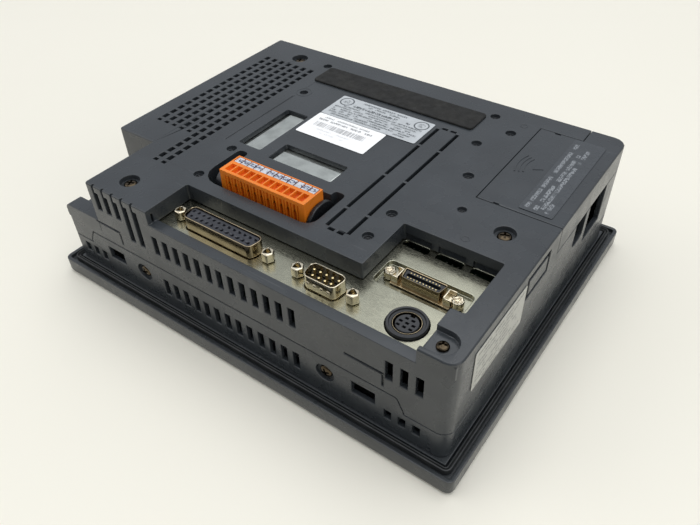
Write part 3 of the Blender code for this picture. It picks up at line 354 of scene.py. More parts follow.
@dataclass(frozen=True)
class PlatedMetal:
    """Plated or bare metal with a drawn grain, cloudy patches and small marks."""

    name: str
    colour: Colour
    roughness: float
    patch: Colour
    drawn: Point = (0.12, 1.2, 1.2)
    depth: float = 0.004
    stain: float = 0.5

    def build(self) -> bpy.types.Material:
        """Makes the material.

        Returns:
            The material.
        """
        graph = NodeGraph(self.name)
        cloud = graph.span(graph.noise(6.0, 4.0), 0.38, 0.72, 0.0, self.stain)
        colour = graph.blend(cloud, self.colour, self.patch)
        spots = graph.span(graph.noise(0.9, 2.0), 0.66, 0.74, 0.0, 0.5)
        shade = tuple(value * 0.55 for value in self.colour)
        colour = graph.blend(spots, colour, shade)
        graph.put("Base Color", colour)
        graph.put("Metallic", 1.0)
        grain = graph.noise(0.25, 2.0, graph.mapped(self.drawn))
        rough = graph.span(grain, 0.3, 0.7, self.roughness - 0.06, self.roughness + 0.08)
        graph.put("Roughness", rough)
        graph.bump(grain, self.depth)
        graph.bump(graph.noise(3.5, 2.0), self.depth * 6.0, 0.5)
        return graph.material


@dataclass(frozen=True)
class SoftRubber:
    """Dull black rubber or closed-cell foam, with dust held in its pores."""

    name: str
    colour: Colour
    dust: Colour
    cell: float
    depth: float
    roughness: float = 0.75
    dusty: float = 0.35

    def build(self) -> bpy.types.Material:
        """Makes the material.

        Returns:
            The material.
        """
        graph = NodeGraph(self.name)
        dust = graph.span(graph.noise(7.0, 5.0), 0.42, 0.7, 0.0, self.dusty)
        colour = graph.blend(dust, self.colour, self.dust)
        pores = graph.add("ShaderNodeTexVoronoi")
        graph.feed(pores.inputs["Vector"], graph.mapped(EVEN))
        pores.inputs["Scale"].default_value = 1.0 / self.cell
        hollow = graph.span(pores.outputs["Distance"], 0.0, 0.6)
        shade = tuple(value * 0.6 for value in self.colour)
        colour = graph.blend(graph.maths("MULTIPLY", hollow, 0.3), colour, shade)
        graph.put("Base Color", colour)
        graph.put("Roughness", graph.span(graph.noise(3.0, 2.0), 0.3, 0.7, self.roughness - 0.08,
                                          self.roughness + 0.08))
        graph.bump(hollow, self.depth)
        return graph.material


@dataclass(frozen=True)
class TintedGlass:
    """The touch panel: a dark film with a grey viewing area and a printed border."""

    name: str
    colour: Colour
    view: Colour
    half_x: float
    half_y: float

    def build(self) -> bpy.types.Material:
        """Makes the material.

        Returns:
            The material.
        """
        graph = NodeGraph(self.name)
        x, y, _ = graph.axes()
        inside = graph.maths("MULTIPLY", graph.within(x, 0.0, self.half_x, 0.1),
                             graph.within(y, 0.0, self.half_y, 0.1))
        haze = graph.span(graph.noise(25.0, 3.0), 0.3, 0.7, 0.85, 1.0)
        colour = graph.blend(graph.maths("MULTIPLY", inside, haze), self.colour, self.view)
        graph.put("Base Color", colour)
        smear = graph.span(graph.noise(12.0, 5.0), 0.35, 0.75, 0.10, 0.30)
        graph.put("Roughness", smear)
        graph.put("Coat Weight", 0.4)
        return graph.material


@dataclass(frozen=True)
class CircuitBoard:
    """Green lacquer over copper tracks, with rows of tinned pads."""

    name: str
    lacquer: Colour = (0.004, 0.022, 0.009)
    copper: Colour = (0.008, 0.042, 0.017)
    tin: Colour = (0.45, 0.45, 0.40)

    def build(self) -> bpy.types.Material:
        """Makes the material.

        Returns:
            The material.
        """
        graph = NodeGraph(self.name)
        x, y, _ = graph.axes()
        tracks = graph.add("ShaderNodeTexBrick")
        graph.feed(tracks.inputs["Vector"], graph.mapped((0.35, 0.35, 0.35)))
        tracks.inputs["Scale"].default_value = 1.0
        tracks.inputs["Mortar Size"].default_value = 0.12
        colour = graph.blend(tracks.outputs["Fac"], self.lacquer, self.copper)
        columns = graph.within(graph.maths("PINGPONG", x, 1.27), 0.0, 0.35)
        rows = graph.within(graph.maths("PINGPONG", y, 5.0), 0.0, 0.5)
        placed = graph.span(graph.noise(14.0, 1.0), 0.5, 0.55)
        pads = graph.maths("MULTIPLY", graph.maths("MULTIPLY", columns, rows), placed)
        graph.put("Base Color", graph.blend(pads, colour, self.tin))
        graph.put("Roughness", graph.span(graph.noise(5.0, 2.0), 0.3, 0.7, 0.32, 0.5))
        graph.bump(graph.maths("ADD", tracks.outputs["Fac"], pads), 0.04)
        return graph.material


class Along(Enum):
    """Which way a label's rows of print run: the two axes across its face."""

    X = (0, 1)
    Y = (1, 0)
    WALL = (1, 2)


@dataclass(frozen=True)
class PrintRow:
    """One row of greeked print: its middle across the rows, height, start and end."""

    across: float
    height: float
    start: float
    end: float
    letter: float = 0.9
    ink: float = 1.0
    bars: bool = False


@dataclass(frozen=True)
class PrintRing:
    """A plain printed ring."""

    along: float
    across: float
    radius: float
    line: float = 0.6


@dataclass(frozen=True)
class PrintedFilm:
    """A label film with rows of greeked, unreadable print."""

    name: str
    colour: Colour
    ink: Colour
    run: Along
    rows: tuple[PrintRow, ...]
    rings: tuple[PrintRing, ...] = ()
    roughness: float = 0.45
    metallic: float = 0.0
    mottle: float = 0.05
    softness: float = 0.12

    def build(self) -> bpy.types.Material:
        """Makes the material.

        Returns:
            The material.
        """
        graph = NodeGraph(self.name)
        light = tuple(min(value * (1.0 + self.mottle), 1.0) for value in self.colour)
        dark = tuple(value * (1.0 - self.mottle) for value in self.colour)
        base = graph.blend(graph.span(graph.noise(5.0, 3.0), 0.3, 0.7), dark, light)
        coordinates = graph.axes()
        along, across = (coordinates[index] for index in self.run.value)
        ink: Optional[Socket] = None
        for number, row in enumerate(self.rows):
            mask = self.row_mask(graph, row, number, along, across)
            ink = mask if ink is None else graph.maths("MAXIMUM", ink, mask)
        for ring in self.rings:
            mask = self.ring_mask(graph, ring, along, across)
            ink = mask if ink is None else graph.maths("MAXIMUM", ink, mask)
        graph.put("Base Color", graph.blend(ink, base, self.ink))
        graph.put("Metallic", self.metallic)
        graph.put("Roughness", graph.span(graph.noise(2.5, 3.0), 0.3, 0.7, self.roughness - 0.07,
                                          self.roughness + 0.07))
        graph.bump(graph.noise(4.0, 2.0), 0.02)
        return graph.material

    def row_mask(self, graph: NodeGraph, row: PrintRow, number: int, along: Socket,
                 across: Socket) -> Socket:
        """Where one row's marks lie.

        Args:
            graph: The material's nodes.
            row: The row.
            number: Its number, which varies the marks.
            along: The coordinate the row runs along.
            across: The coordinate across the rows.

        Returns:
            The mask.
        """
        band = graph.within(across, row.across, row.height / 2, self.softness)
        length = graph.within(along, (row.start + row.end) / 2, (row.end - row.start) / 2)
        joined = graph.add("ShaderNodeCombineXYZ")
        graph.feed(joined.inputs[0], graph.maths("DIVIDE", along, row.letter))
        if not row.bars:
            graph.feed(joined.inputs[1], graph.maths("DIVIDE", across, row.height * 0.62))
        joined.inputs[2].default_value = 7.3 * number
        marks = graph.span(graph.noise(0.55, 1.0, joined.outputs[0]), 0.43, 0.52)
        words = graph.add("ShaderNodeCombineXYZ")
        graph.feed(words.inputs[0], graph.maths("DIVIDE", along, row.letter * 4.2))
        words.inputs[1].default_value = 3.1 * number
        gaps = graph.span(graph.noise(1.0, 0.0, words.outputs[0]), 0.36, 0.42)
        if row.bars:
            gaps = 1.0
        mask = graph.maths("MULTIPLY", graph.maths("MULTIPLY", band, length), marks)
        return graph.maths("MULTIPLY", graph.maths("MULTIPLY", mask, gaps), row.ink)

    def ring_mask(self, graph: NodeGraph, ring: PrintRing, along: Socket,
                  across: Socket) -> Socket:
        """Where a plain ring lies.

        Args:
            graph: The material's nodes.
            ring: The ring.
            along: The coordinate along the rows.
            across: The coordinate across them.

        Returns:
            The mask.
        """
        first = graph.maths("POWER", graph.maths("SUBTRACT", along, ring.along), 2.0)
        second = graph.maths("POWER", graph.maths("SUBTRACT", across, ring.across), 2.0)
        distance = graph.maths("SQRT", graph.maths("ADD", first, second))
        line = graph.within(distance, ring.radius, ring.line / 2)
        blot = graph.within(distance, 0.0, ring.radius * 0.4, ring.radius * 0.3)
        blot = graph.maths("MULTIPLY", blot, graph.span(graph.noise(0.7, 1.0), 0.45, 0.55))
        return graph.maths("MAXIMUM", line, graph.maths("MULTIPLY", blot, 0.7))


# ------------------------------------------------------------------ shapes


def rounded_loop(shape: BMesh, centre: tuple[float, float], half: tuple[float, float],
                 radius: float, height: float, segments: int = 6,
                 lean: float = 0.0) -> list[BMEdge]:
    """Adds a rounded rectangle as a closed loop of edges.

    Args:
        shape: The mesh it goes into.
        centre: X and Y of its middle.
        half: Half its length and half its width.
        radius: Corner radius.
        height: Its Z.
        segments: Edges in each corner.
        lean: How much shorter each end of the front side is.

    Returns:
        The loop's edges.
    """
    made = bmesh.ops.create_grid(shape, x_segments=1, y_segments=1, size=1.0)
    corners = made["verts"]
    front = [corner for corner in corners if corner.co.y < 0]
    bmesh.ops.scale(shape, vec=(1.0 - lean / half[0], 1.0, 1.0), verts=front)
    place = Matrix.Translation(Vector((*centre, height)) * MM)
    spread = Matrix.Diagonal((half[0] * MM, half[1] * MM, 1.0, 1.0))
    bmesh.ops.transform(shape, matrix=place @ spread, verts=corners)
    if radius > 0:
        made = bmesh.ops.bevel(shape, geom=corners, offset=radius * MM, segments=segments,
                               affect="VERTICES", profile=0.5, material=-1)
        corners = made["verts"]
    face = corners[0].link_faces[0]
    edges = list(face.edges)
    bmesh.ops.delete(shape, geom=[face], context="FACES_ONLY")
    return edges


def bridge(shape: BMesh, loops: Sequence[list[BMEdge]], closed: bool = False) -> None:
    """Joins loops in order with bands of faces.

    Loops that follow each other need different heights, because a flat band between two level
    loops comes out twisted.

    Args:
        shape: The mesh they are in.
        loops: The loops, in order.
        closed: True to join the last back to the first, False to cap both ends.
    """
    pairs = list(zip(loops, loops[1:]))
    if closed:
        pairs.append((loops[-1], loops[0]))
    for first, second in pairs:
        bmesh.ops.bridge_loops(shape, edges=first + second)
    if not closed:
        for loop in (loops[0], loops[-1]):
            bmesh.ops.contextual_create(shape, geom=loop)
    bmesh.ops.recalc_face_normals(shape, faces=shape.faces)


def lathe(profile: Sequence[tuple[float, float]], centre: Point, sides: int = 40) -> BMesh:
    """A turned solid about a vertical axis.

    Args:
        profile: Radii and heights from the top's middle round to the bottom's middle.
        centre: The axis's place, added to the profile.
        sides: Steps round the axis.

    Returns:
        The shape.
    """
    shape = bmesh.new()
    points = [shape.verts.new((radius * MM, 0.0, height * MM)) for radius, height in profile]
    edges = [shape.edges.new(pair) for pair in zip(points, points[1:])]
    bmesh.ops.spin(shape, geom=points + edges, cent=(0, 0, 0), axis=(0, 0, 1),
                   angle=2 * math.pi, steps=sides, use_merge=True)
    bmesh.ops.remove_doubles(shape, verts=shape.verts, dist=SEAM)
    bmesh.ops.translate(shape, vec=Vector(centre) * MM, verts=shape.verts)
    bmesh.ops.recalc_face_normals(shape, faces=shape.faces)
    return shape


def ring_lathe(profile: Sequence[tuple[float, float]], centre: Point, sides: int = 48) -> BMesh:
    """A turned ring about a vertical axis, from a closed profile.

    Args:
        profile: Radii and heights round the ring's section.
        centre: The axis's place.
        sides: Steps round the axis.

    Returns:
        The shape.
    """
    return lathe([*profile, profile[0]], centre, sides)


def rounded(shape: BMesh, edges: Iterable[BMEdge], width: float, segments: int,
            clamp: bool = False, **more: str) -> None:
    """Rounds edges with a bevel.

    Args:
        shape: The mesh.
        edges: The edges.
        width: The rounding's width in millimetres.
        segments: Faces across it.
        clamp: Whether roundings that meet stop each other.
        more: Further settings of the bevel.
    """
    bmesh.ops.bevel(shape, geom=edges, offset=width * MM, segments=segments, affect="EDGES",
                    profile=0.5, material=-1, clamp_overlap=clamp, **more)


def block(low: Point, high: Point, round_by: float = 0.0, segments: int = 2) -> BMesh:
    """A box with every edge rounded.

    Args:
        low: Its lowest corner.
        high: Its highest corner.
        round_by: Radius of its edges.
        segments: Faces across each rounded edge.

    Returns:
        The shape.
    """
    shape = bmesh.new()
    bmesh.ops.create_cube(shape, size=1.0)
    size = Vector(high) - Vector(low)
    bmesh.ops.scale(shape, vec=size * MM, verts=shape.verts)
    bmesh.ops.translate(shape, vec=(Vector(low) + Vector(high)) * (MM / 2), verts=shape.verts)
    if round_by > 0:
        rounded(shape, shape.edges, round_by, segments, clamp=True)
    return shape


def joined(shapes: Iterable[BMesh]) -> BMesh:
    """Several shapes as one mesh.

    Args:
        shapes: The shapes, which are freed.

    Returns:
        The one mesh.
    """
    result = bmesh.new()
    for shape in shapes:
        mesh = bpy.data.meshes.new("part")
        shape.to_mesh(mesh)
        shape.free()
        result.from_mesh(mesh)
        bpy.data.meshes.remove(mesh)
    return result


def turned(shape: BMesh, matrix: Matrix) -> BMesh:
    """The shape after a turn or move.

    Args:
        shape: The shape, which is changed.
        matrix: The turn or move, in metres.

    Returns:
        The same shape.
    """
    bmesh.ops.transform(shape, matrix=matrix, verts=shape.verts)
    return shape


def sharp_edges(shape: BMesh, angle: float = 30.0, shortest: float = 0.0) -> list[BMEdge]:
    """Edges where two faces meet at more than an angle.

    Args:
        shape: The mesh.
        angle: The angle in degrees.
        shortest: The least length in millimetres.

    Returns:
        The edges.
    """
    limit = math.radians(angle)
    return [edge for edge in shape.edges if len(edge.link_faces) == 2
            and edge.calc_face_angle(0.0) > limit and edge.calc_length() > shortest * MM]


@dataclass(frozen=True)
class Piece:
    """How a finished mesh joins the model: its name, body, slot and the nodes it stands for."""

    name: str
    slot: str
    body: Body = Body.TERMINAL
    stands_for: tuple[str, ...] = ()
    smooth: float = 32.0

    def finish(self, shape: BMesh, *finishes: bpy.types.Material) -> bpy.types.Object:
        """Turns a shape into a piece of the model.

        Args:
            shape: The mesh, in metres, which is freed.
            finishes: The materials, in the order of the faces' indices.

        Returns:
            The new object.
        """
        mesh = bpy.data.meshes.new(self.name)
        shape.to_mesh(mesh)
        shape.free()
        made = bpy.data.objects.new(self.name, mesh)
        bpy.context.scene.collection.objects.link(made)
        for material in finishes:
            mesh.materials.append(material)
        mesh.polygons.foreach_set("use_smooth", [True] * len(mesh.polygons))
        mesh.set_sharp_from_angle(angle=math.radians(self.smooth))
        weighted = made.modifiers.new("weighted", "WEIGHTED_NORMAL")
        weighted.keep_sharp = True
        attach(made, self.body.value)
        if self.stands_for:
            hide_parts(*self.stands_for)
        LOG.info("%s: %d faces on %s", self.name, len(mesh.polygons), self.body.value)
        return made


def copied(node: str) -> BMesh:
    """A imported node's shape with its loose triangles merged into clean faces.

    Args:
        node: The node's name.

    Returns:
        The shape.
    """
    shape = bmesh.new()
    shape.from_mesh(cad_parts[node].data)
    bmesh.ops.remove_doubles(shape, verts=shape.verts, dist=LOOSE)
    bmesh.ops.dissolve_degenerate(shape, dist=CUT, edges=shape.edges)
    for face in shape.faces:
        face.material_index = 0
    return shape


def softened(node: str, width: float, segments: int = 2,
             chosen: Optional[Callable[[BMEdge], bool]] = None, angle: float = 30.0) -> BMesh:
    """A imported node's shape with its sharp edges rounded and stray vertices put back.

    Args:
        node: The node's name.
        width: The rounding's width in millimetres.
        segments: Faces across it.
        chosen: Picks among the sharp edges, or None for all of them.
        angle: Least angle of a sharp edge, in degrees.

    Returns:
        The shape.
    """
    shape = copied(node)
    surface = BVHTree.FromBMesh(shape)
    edges = sharp_edges(shape, angle)
    if chosen is not None:
        edges = [edge for edge in edges if chosen(edge)]
    rounded(shape, edges, width, segments, offset_type="OFFSET", miter_outer="SHARP")
    for vert in shape.verts:
        nearest, _, _, distance = surface.find_nearest(vert.co)
        if distance > STRAY * width * MM:
            vert.co = nearest
    bmesh.ops.remove_doubles(shape, verts=shape.verts, dist=CUT)
    bmesh.ops.dissolve_degenerate(shape, dist=CUT, edges=shape.edges)
    return shape


def box_mm(node: str) -> tuple[Vector, Vector]:
    """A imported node's lowest and highest corners, in millimetres.

    Args:
        node: The node's name.

    Returns:
        The two corners.
    """
    low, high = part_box(node)
    return low / MM, high / MM


def dress(node: str, finish: bpy.types.Material) -> None:
    """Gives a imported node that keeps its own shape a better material.

    Args:
        node: The node's name.
        finish: The material.
    """
    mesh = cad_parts[node].data
    mesh.materials.clear()
    mesh.materials.append(finish)


# ------------------------------------------------------------------ the finishes used


@dataclass
class Finishes:
    """Every finish of the terminal, made once."""

    made: dict[str, bpy.types.Material] = field(default_factory=dict)

    def build(self) -> None:
        """Makes all the materials."""
        plastic = (
            MouldedPlastic("slate_plastic", (0.037, 0.042, 0.047), 0.29),
            MouldedPlastic("bezel_plastic", (0.034, 0.038, 0.041), 0.30, scratch=0.4),
            MouldedPlastic("port_plastic", (0.016, 0.017, 0.019), 0.38, 0.3, 0.006,
                           scratch=0.1),
            MouldedPlastic("contact_plastic", (0.026, 0.028, 0.036), 0.42, 0.3, 0.006,
                           scratch=0.1),
            MouldedPlastic("core_plastic", (0.020, 0.021, 0.024), 0.40, 0.3, 0.006,
                           scratch=0.1),
            MouldedPlastic("lever_plastic", (0.012, 0.013, 0.015), 0.30, 0.3, 0.006,
                           scratch=0.15),
            MouldedPlastic("orange_plastic", (0.86, 0.225, 0.016), 0.32, 0.3, 0.006, 0.08,
                           0.12, (0.9, 0.45, 0.2)),
            # The plug's window floors: the orange made darker and redder, painted shade at the
            # bottom of the windows.
            MouldedPlastic("window_floor_painted_shade", (0.78, 0.12, 0.008), 0.45, 0.3, 0.006, 0.15,
                           0.0),
        )
        metal = (
            PlatedMetal("plated_steel", (0.40, 0.395, 0.31), 0.24, (0.33, 0.32, 0.25),
                        depth=0.003),
            PlatedMetal("nickel_plate", (0.78, 0.71, 0.55), 0.14, (0.60, 0.50, 0.34),
                        depth=0.001),
            PlatedMetal("bronze_shell", (0.44, 0.36, 0.24), 0.16, (0.26, 0.21, 0.13),
                        depth=0.001),
            PlatedMetal("screw_steel", (0.085, 0.065, 0.042), 0.13, (0.035, 0.028, 0.018),
                        depth=0.003),
            PlatedMetal("gold_contact", (0.95, 0.78, 0.42), 0.20, (0.80, 0.62, 0.30),
                        depth=0.001),
            PlatedMetal("galvanised_steel", (0.54, 0.565, 0.54), 0.34, (0.40, 0.42, 0.40),
                        depth=0.010, stain=0.8),
            PlatedMetal("display_module", (0.42, 0.43, 0.44), 0.40, (0.30, 0.31, 0.32)),
        )
        soft = (
            SoftRubber("gasket_rubber", (0.026, 0.028, 0.029), (0.075, 0.077, 0.074),
                       0.9, 0.01, 0.44, 0.4),
            SoftRubber("foam_strip", (0.014, 0.014, 0.013), (0.030, 0.029, 0.025),
                       0.55, 0.10, 0.9, 0.5),
        )
        glass = TintedGlass("touch_glass", (0.006, 0.007, 0.008), (0.030, 0.034, 0.036),
                            58.0, 43.5)
        for finish in (*plastic, *metal, *soft, glass, CircuitBoard("circuit_board")):
            self.made[finish.name] = finish.build()

    def __getitem__(self, name: str) -> bpy.types.Material:
        """The material of that name."""
        return self.made[name]


# ------------------------------------------------------------------ sub-assemblies


@dataclass
class DisplayFront:
    """The flanged bezel, its ribbed gasket, the touch panel and what lies behind it."""

    finishes: Finishes
    bezel_round: float = 0.35
    lip_corner: float = 2.9
    lip_sections: tuple[tuple[float, float], ...] = (
        (0.10, 8.15), (0.30, 8.75), (0.62, 8.9), (0.90, 8.62), (1.12, 7.77), (1.36, 7.74),
        (1.56, 8.42), (1.80, 8.55), (2.02, 8.35), (2.30, 7.4), (2.45, 6.68), (0.05, 6.72),
    )

    def build(self) -> None:
        """Builds and dresses the front."""
        Piece("front_bezel_moulding", "bezel_plastic", stands_for=("front_bezel",)).finish(
            softened("front_bezel", self.bezel_round), self.finishes["bezel_plastic"])
        self.build_gasket()
        dress("touch_panel", self.finishes["touch_glass"])
        dress("display_module", self.finishes["display_module"])
        dress("chassis_frame", self.finishes["galvanised_steel"])

    def build_gasket(self) -> None:
        """The rubber ring, with two lips and a groove between them."""
        low, high = box_mm("panel_gasket")
        half = (high - low) / 2
        centre = ((high + low) / 2).xy
        shape = bmesh.new()
        loops = [rounded_loop(shape, tuple(centre), (half.x - inwards, half.y - inwards),
                              self.lip_corner - inwards, height)
                 for inwards, height in self.lip_sections]
        bridge(shape, loops, closed=True)
        Piece("gasket_lips", "gasket_rubber", stands_for=("panel_gasket",)).finish(
            shape, self.finishes["gasket_rubber"])


@dataclass
class BodyShell:
    """The rear cover, the display housing under it and the blanking plate in its side."""

    finishes: Finishes
    edge_round: float = 0.32
    ring_half: float = 0.25
    ring_rise: float = 0.2
    ring_root: float = 0.3
    rings: tuple[tuple[float, float, float], ...] = (
        (-49.4, 35.9, 3.9), (73.4, -21.6, 1.5), (57.2, 65.8, 1.5),
    )
    line: tuple[float, float, float, float] = (-51.7, -51.3, 39.2, 48.5)
    line_round: float = 0.08
    holes: tuple[tuple[float, float, float], ...] = (
        (-57.0, 66.2, 2.3), (-49.4, 35.9, 2.1), (-43.7, -23.6, 2.3), (-41.6, -46.3, 2.3),
        (42.2, 66.6, 2.3), (54.8, 56.7, 2.4), (45.8, 40.6, 2.3), (54.8, 15.9, 2.4),
        (63.8, -6.3, 1.9), (42.2, -23.8, 2.3), (42.2, -40.4, 2.3),
    )
    hole_depth: float = 1.7
    stud: tuple[tuple[float, float], ...] = (
        (0.0, 0.55), (0.2, 0.55), (0.3, 0.25), (0.62, 0.25), (0.74, 0.1), (0.74, -0.2),
        (0.0, -0.2),
    )
    stud_sides: int = 20
    sliver: tuple[Point, Point] = ((-80.6, -79.0, 37.8), (-77.0, -77.3, 40.2))
    hook_places: tuple[float, ...] = (56.2, 70.9, 85.7)
    hook_half: float = 6.6
    hook_round: float = 0.1
    hook_span: tuple[float, float, float, float] = (-25.4, -24.9, 50.6, 56.0)

    def build(self) -> None:
        """Builds and dresses the shell."""
        plastic = self.finishes["slate_plastic"]
        for node, name in (("rear_cover", "rear_cover_moulding"),
                           ("display_housing", "display_housing_moulding"),
                           ("side_blank", "side_blank_plate")):
            Piece(name, "slate_plastic", stands_for=(node,)).finish(
                softened(node, self.edge_round, chosen=self.clear_of_slivers), plastic)
        self.build_rings(self.top())
        self.build_shade_studs(self.top() - self.hole_depth)
        self.build_hook_backs()

    def build_rings(self, top: float) -> None:
        """The raised rings and the short line on the cover's top.

        Args:
            top: The height of the cover's top.
        """
        plastic = self.finishes["slate_plastic"]
        root, shoulder = top - self.ring_root, top + self.ring_rise / 2
        rings = [ring_lathe([(radius - self.ring_half, root), (radius - self.ring_half, shoulder),
                             (radius, top + self.ring_rise), (radius + self.ring_half, shoulder),
                             (radius + self.ring_half, root)], (x, y, 0.0))
                 for x, y, radius in self.rings]
        left, right, near, far = self.line
        rings.append(block((left, near, root), (right, far, shoulder), self.line_round))
        Piece("cover_witness_rings", "slate_plastic", smooth=60.0).finish(joined(rings), plastic)

    def build_shade_studs(self, floor: float) -> None:
        """The stepped studs in the blind holes, near-black as painted shade that stands in for
        deeper holes.

        Args:
            floor: The height of the holes' floor.
        """
        studs = [lathe([(share * radius, floor + height) for share, height in self.stud],
                       (x, y, 0.0), self.stud_sides) for x, y, radius in self.holes]
        # Near-black finish: painted shade standing in for the dark insides of deeper holes.
        Piece("blind_hole_shade_studs", "port_plastic").finish(
            joined(studs), self.finishes["lever_plastic"])

    def build_hook_backs(self) -> None:
        """The backs of the three hook slots in the front."""
        front, back, low, high = self.hook_span
        pockets = [block((x - self.hook_half, front, low), (x + self.hook_half, back, high),
                         self.hook_round) for x in self.hook_places]
        Piece("hook_slot_backs", "slate_plastic").finish(
            joined(pockets), self.finishes["slate_plastic"])

    def clear_of_slivers(self, edge: BMEdge) -> bool:
        """False for an edge in the thin corner where the step meets the front groove.

        Args:
            edge: The edge.

        Returns:
            Whether the edge may be rounded.
        """
        low, high = self.sliver
        return not all(low[i] < vert.co[i] / MM < high[i] for vert in edge.verts
                       for i in range(3))

    def top(self) -> float:
        """The height of the cover's flat top, in millimetres."""
        return box_mm("rear_cover")[1].z


@dataclass
class CardCover:
    """The sliding cover, with its grip ridges and the arrow that shows which way it slides."""

    finishes: Finishes
    edge_round: float = 0.3
    arrow_middle: tuple[float, float] = (76.6, 36.7)
    arrow_radius: float = 3.1
    ridge_middle: tuple[float, float] = (86.0, 36.7)
    ridge_radii: tuple[float, ...] = (14.6, 16.4, 18.2)
    ridge_sweep: float = 46.0
    ridge_half: float = 0.3
    relief: float = 0.22

    def build(self) -> None:
        """Builds and dresses the cover."""
        plastic = self.finishes["slate_plastic"]
        Piece("card_cover_moulding", "slate_plastic", Body.CARD_COVER, ("card_cover",)).finish(
            softened("card_cover", self.edge_round), plastic)
        top = box_mm("card_cover")[1].z
        relief = [self.arrow(top), *(self.ridge(radius, top) for radius in self.ridge_radii)]
        Piece("card_cover_relief", "slate_plastic", Body.CARD_COVER).finish(
            joined(relief), plastic)

    def arrow(self, top: float) -> BMesh:
        """The raised triangle that points the way the cover slides.

        Args:
            top: The height of the cover's top.

        Returns:
            The shape.
        """
        shape = bmesh.new()
        bmesh.ops.create_cone(shape, cap_ends=True, segments=3, radius1=self.arrow_radius * MM,
                              radius2=(self.arrow_radius - 0.7) * MM, depth=self.relief * 2.6 * MM)
        place = Matrix.Translation(Vector((*self.arrow_middle, top)) * MM)
        return turned(shape, place @ Matrix.Rotation(math.radians(-90.0), 4, "Z"))

    def ridge(self, radius: float, top: float) -> BMesh:
        """One curved grip ridge.

        Args:
            radius: Its radius.
            top: The height of the cover's top.

        Returns:
            The shape.
        """
        shape = bmesh.new()
        made = bmesh.ops.create_grid(shape, x_segments=1, y_segments=1, size=1.0)
        centre = Vector((*self.ridge_middle, top)) * MM
        place = Matrix.Translation(centre - Vector((radius * MM, 0.0, 0.0)))
        lie = Matrix.Rotation(math.radians(90.0), 4, "X")
        spread = Matrix.Diagonal((self.ridge_half * MM, self.relief * MM, 1.0, 1.0))
        start = Matrix.Translation(centre) @ Matrix.Rotation(
            math.radians(-self.ridge_sweep / 2), 4, "Z") @ Matrix.Translation(-centre)
        bmesh.ops.transform(shape, matrix=start @ place @ lie @ spread, verts=made["verts"])
        bmesh.ops.spin(shape, geom=shape.verts[:] + shape.edges[:] + shape.faces[:],
                       cent=centre, axis=(0, 0, 1), angle=math.radians(self.ridge_sweep),
                       steps=14, use_merge=False)
        bmesh.ops.remove_doubles(shape, verts=shape.verts, dist=SEAM)
        bmesh.ops.recalc_face_normals(shape, faces=shape.faces)
        return shape


@dataclass
class Screws:
    """Every cross-recessed screw with a low domed head."""

    finishes: Finishes
    dome: tuple[tuple[float, float], ...] = (
        (0.0, 1.0), (0.35, 0.985), (0.62, 0.90), (0.82, 0.74), (0.95, 0.50), (1.0, 0.22),
        (1.0, 0.06), (0.95, 0.0), (0.0, 0.0),
    )
    slot_half: float = 0.42
    slot_reach: float = 0.64
    corner_share: float = 0.80
    head_height: float = 1.25
    head_sides: int = 28
    slot_floor: float = 0.3
    slot_turns: tuple[float, float] = (22.0, 112.0)

    def build(self) -> None:
        """Builds all the screws."""
        for node in ("rear_screw_1", "rear_screw_2", "rear_screw_3", "corner_screw"):
            low, high = box_mm(node)
            middle = (low + high) / 2
            self.build_screw(node, Vector((middle.x, middle.y, high.z)), high.x - low.x,
                             Vector((0, 0, 1)))
        for number in range(1, 5):
            node = f"housing_screw_{number}"
            low, high = box_mm(node)
            middle = (low + high) / 2
            front = middle.y < 0
            face = low.y if front else high.y
            self.build_screw(node, Vector((middle.x, face, middle.z)), high.x - low.x,
                             Vector((0, -1 if front else 1, 0)))

    def build_screw(self, node: str, top: Vector, width: float, outwards: Vector) -> None:
        """Builds one screw's head in place of its node.

        Args:
            node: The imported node.
            top: The middle of the head's top, in millimetres.
            width: The head's diameter.
            outwards: The way its head points.
        """
        radius, height = width / 2, self.head_height
        if node == "corner_screw":
            radius *= self.corner_share
        head = lathe([(r * radius, h * height) for r, h in self.dome], (0, 0, 0),
                     self.head_sides)
        blank = mesh_object(head)
        for turn in self.slot_turns:
            slot = block((-self.slot_reach * radius, -self.slot_half, self.slot_floor),
                         (self.slot_reach * radius, self.slot_half, 3.0))
            turned(slot, Matrix.Rotation(math.radians(turn), 4, "Z"))
            cut_from(blank, slot)
        shape = taken_back(blank)
        bmesh.ops.remove_doubles(shape, verts=shape.verts, dist=CUT)
        turn = Vector((0, 0, 1)).rotation_difference(outwards).to_matrix().to_4x4()
        place = Matrix.Translation((top - outwards * height) * MM)
        turned(shape, place @ turn)
        Piece(f"{node}_head", "screw_steel", stands_for=(node,)).finish(
            shape, self.finishes["screw_steel"])


def mesh_object(shape: BMesh) -> bpy.types.Object:
    """A working object, which a finished piece is later made from.

    Args:
        shape: Its mesh, which is freed.

    Returns:
        The object.
    """
    mesh = bpy.data.meshes.new("blank")
    shape.to_mesh(mesh)
    shape.free()
    made = bpy.data.objects.new("blank", mesh)
    bpy.context.scene.collection.objects.link(made)
    return made


def taken_back(blank: bpy.types.Object) -> BMesh:
    """A working object's mesh as a shape, once its cuts are made.

    Args:
        blank: The object, which is removed.

    Returns:
        The shape.
    """
    shape = bmesh.new()
    shape.from_mesh(blank.data)
    bpy.data.objects.remove(blank)
    return shape


def cut_from(target: bpy.types.Object, shape: BMesh) -> None:
    """Takes a shape away from an object's mesh.

    Args:
        target: The object.
        shape: The cutter, which is freed.
    """
    cutter = mesh_object(shape)
    modifier = target.modifiers.new("cut", "BOOLEAN")
    modifier.operation = "DIFFERENCE"
    modifier.solver = "EXACT"
    modifier.object = cutter
    graph = bpy.context.evaluated_depsgraph_get()
    result = bpy.data.meshes.new_from_object(target.evaluated_get(graph))
    target.modifiers.remove(modifier)
    target.data = result
    bpy.data.objects.remove(cutter)


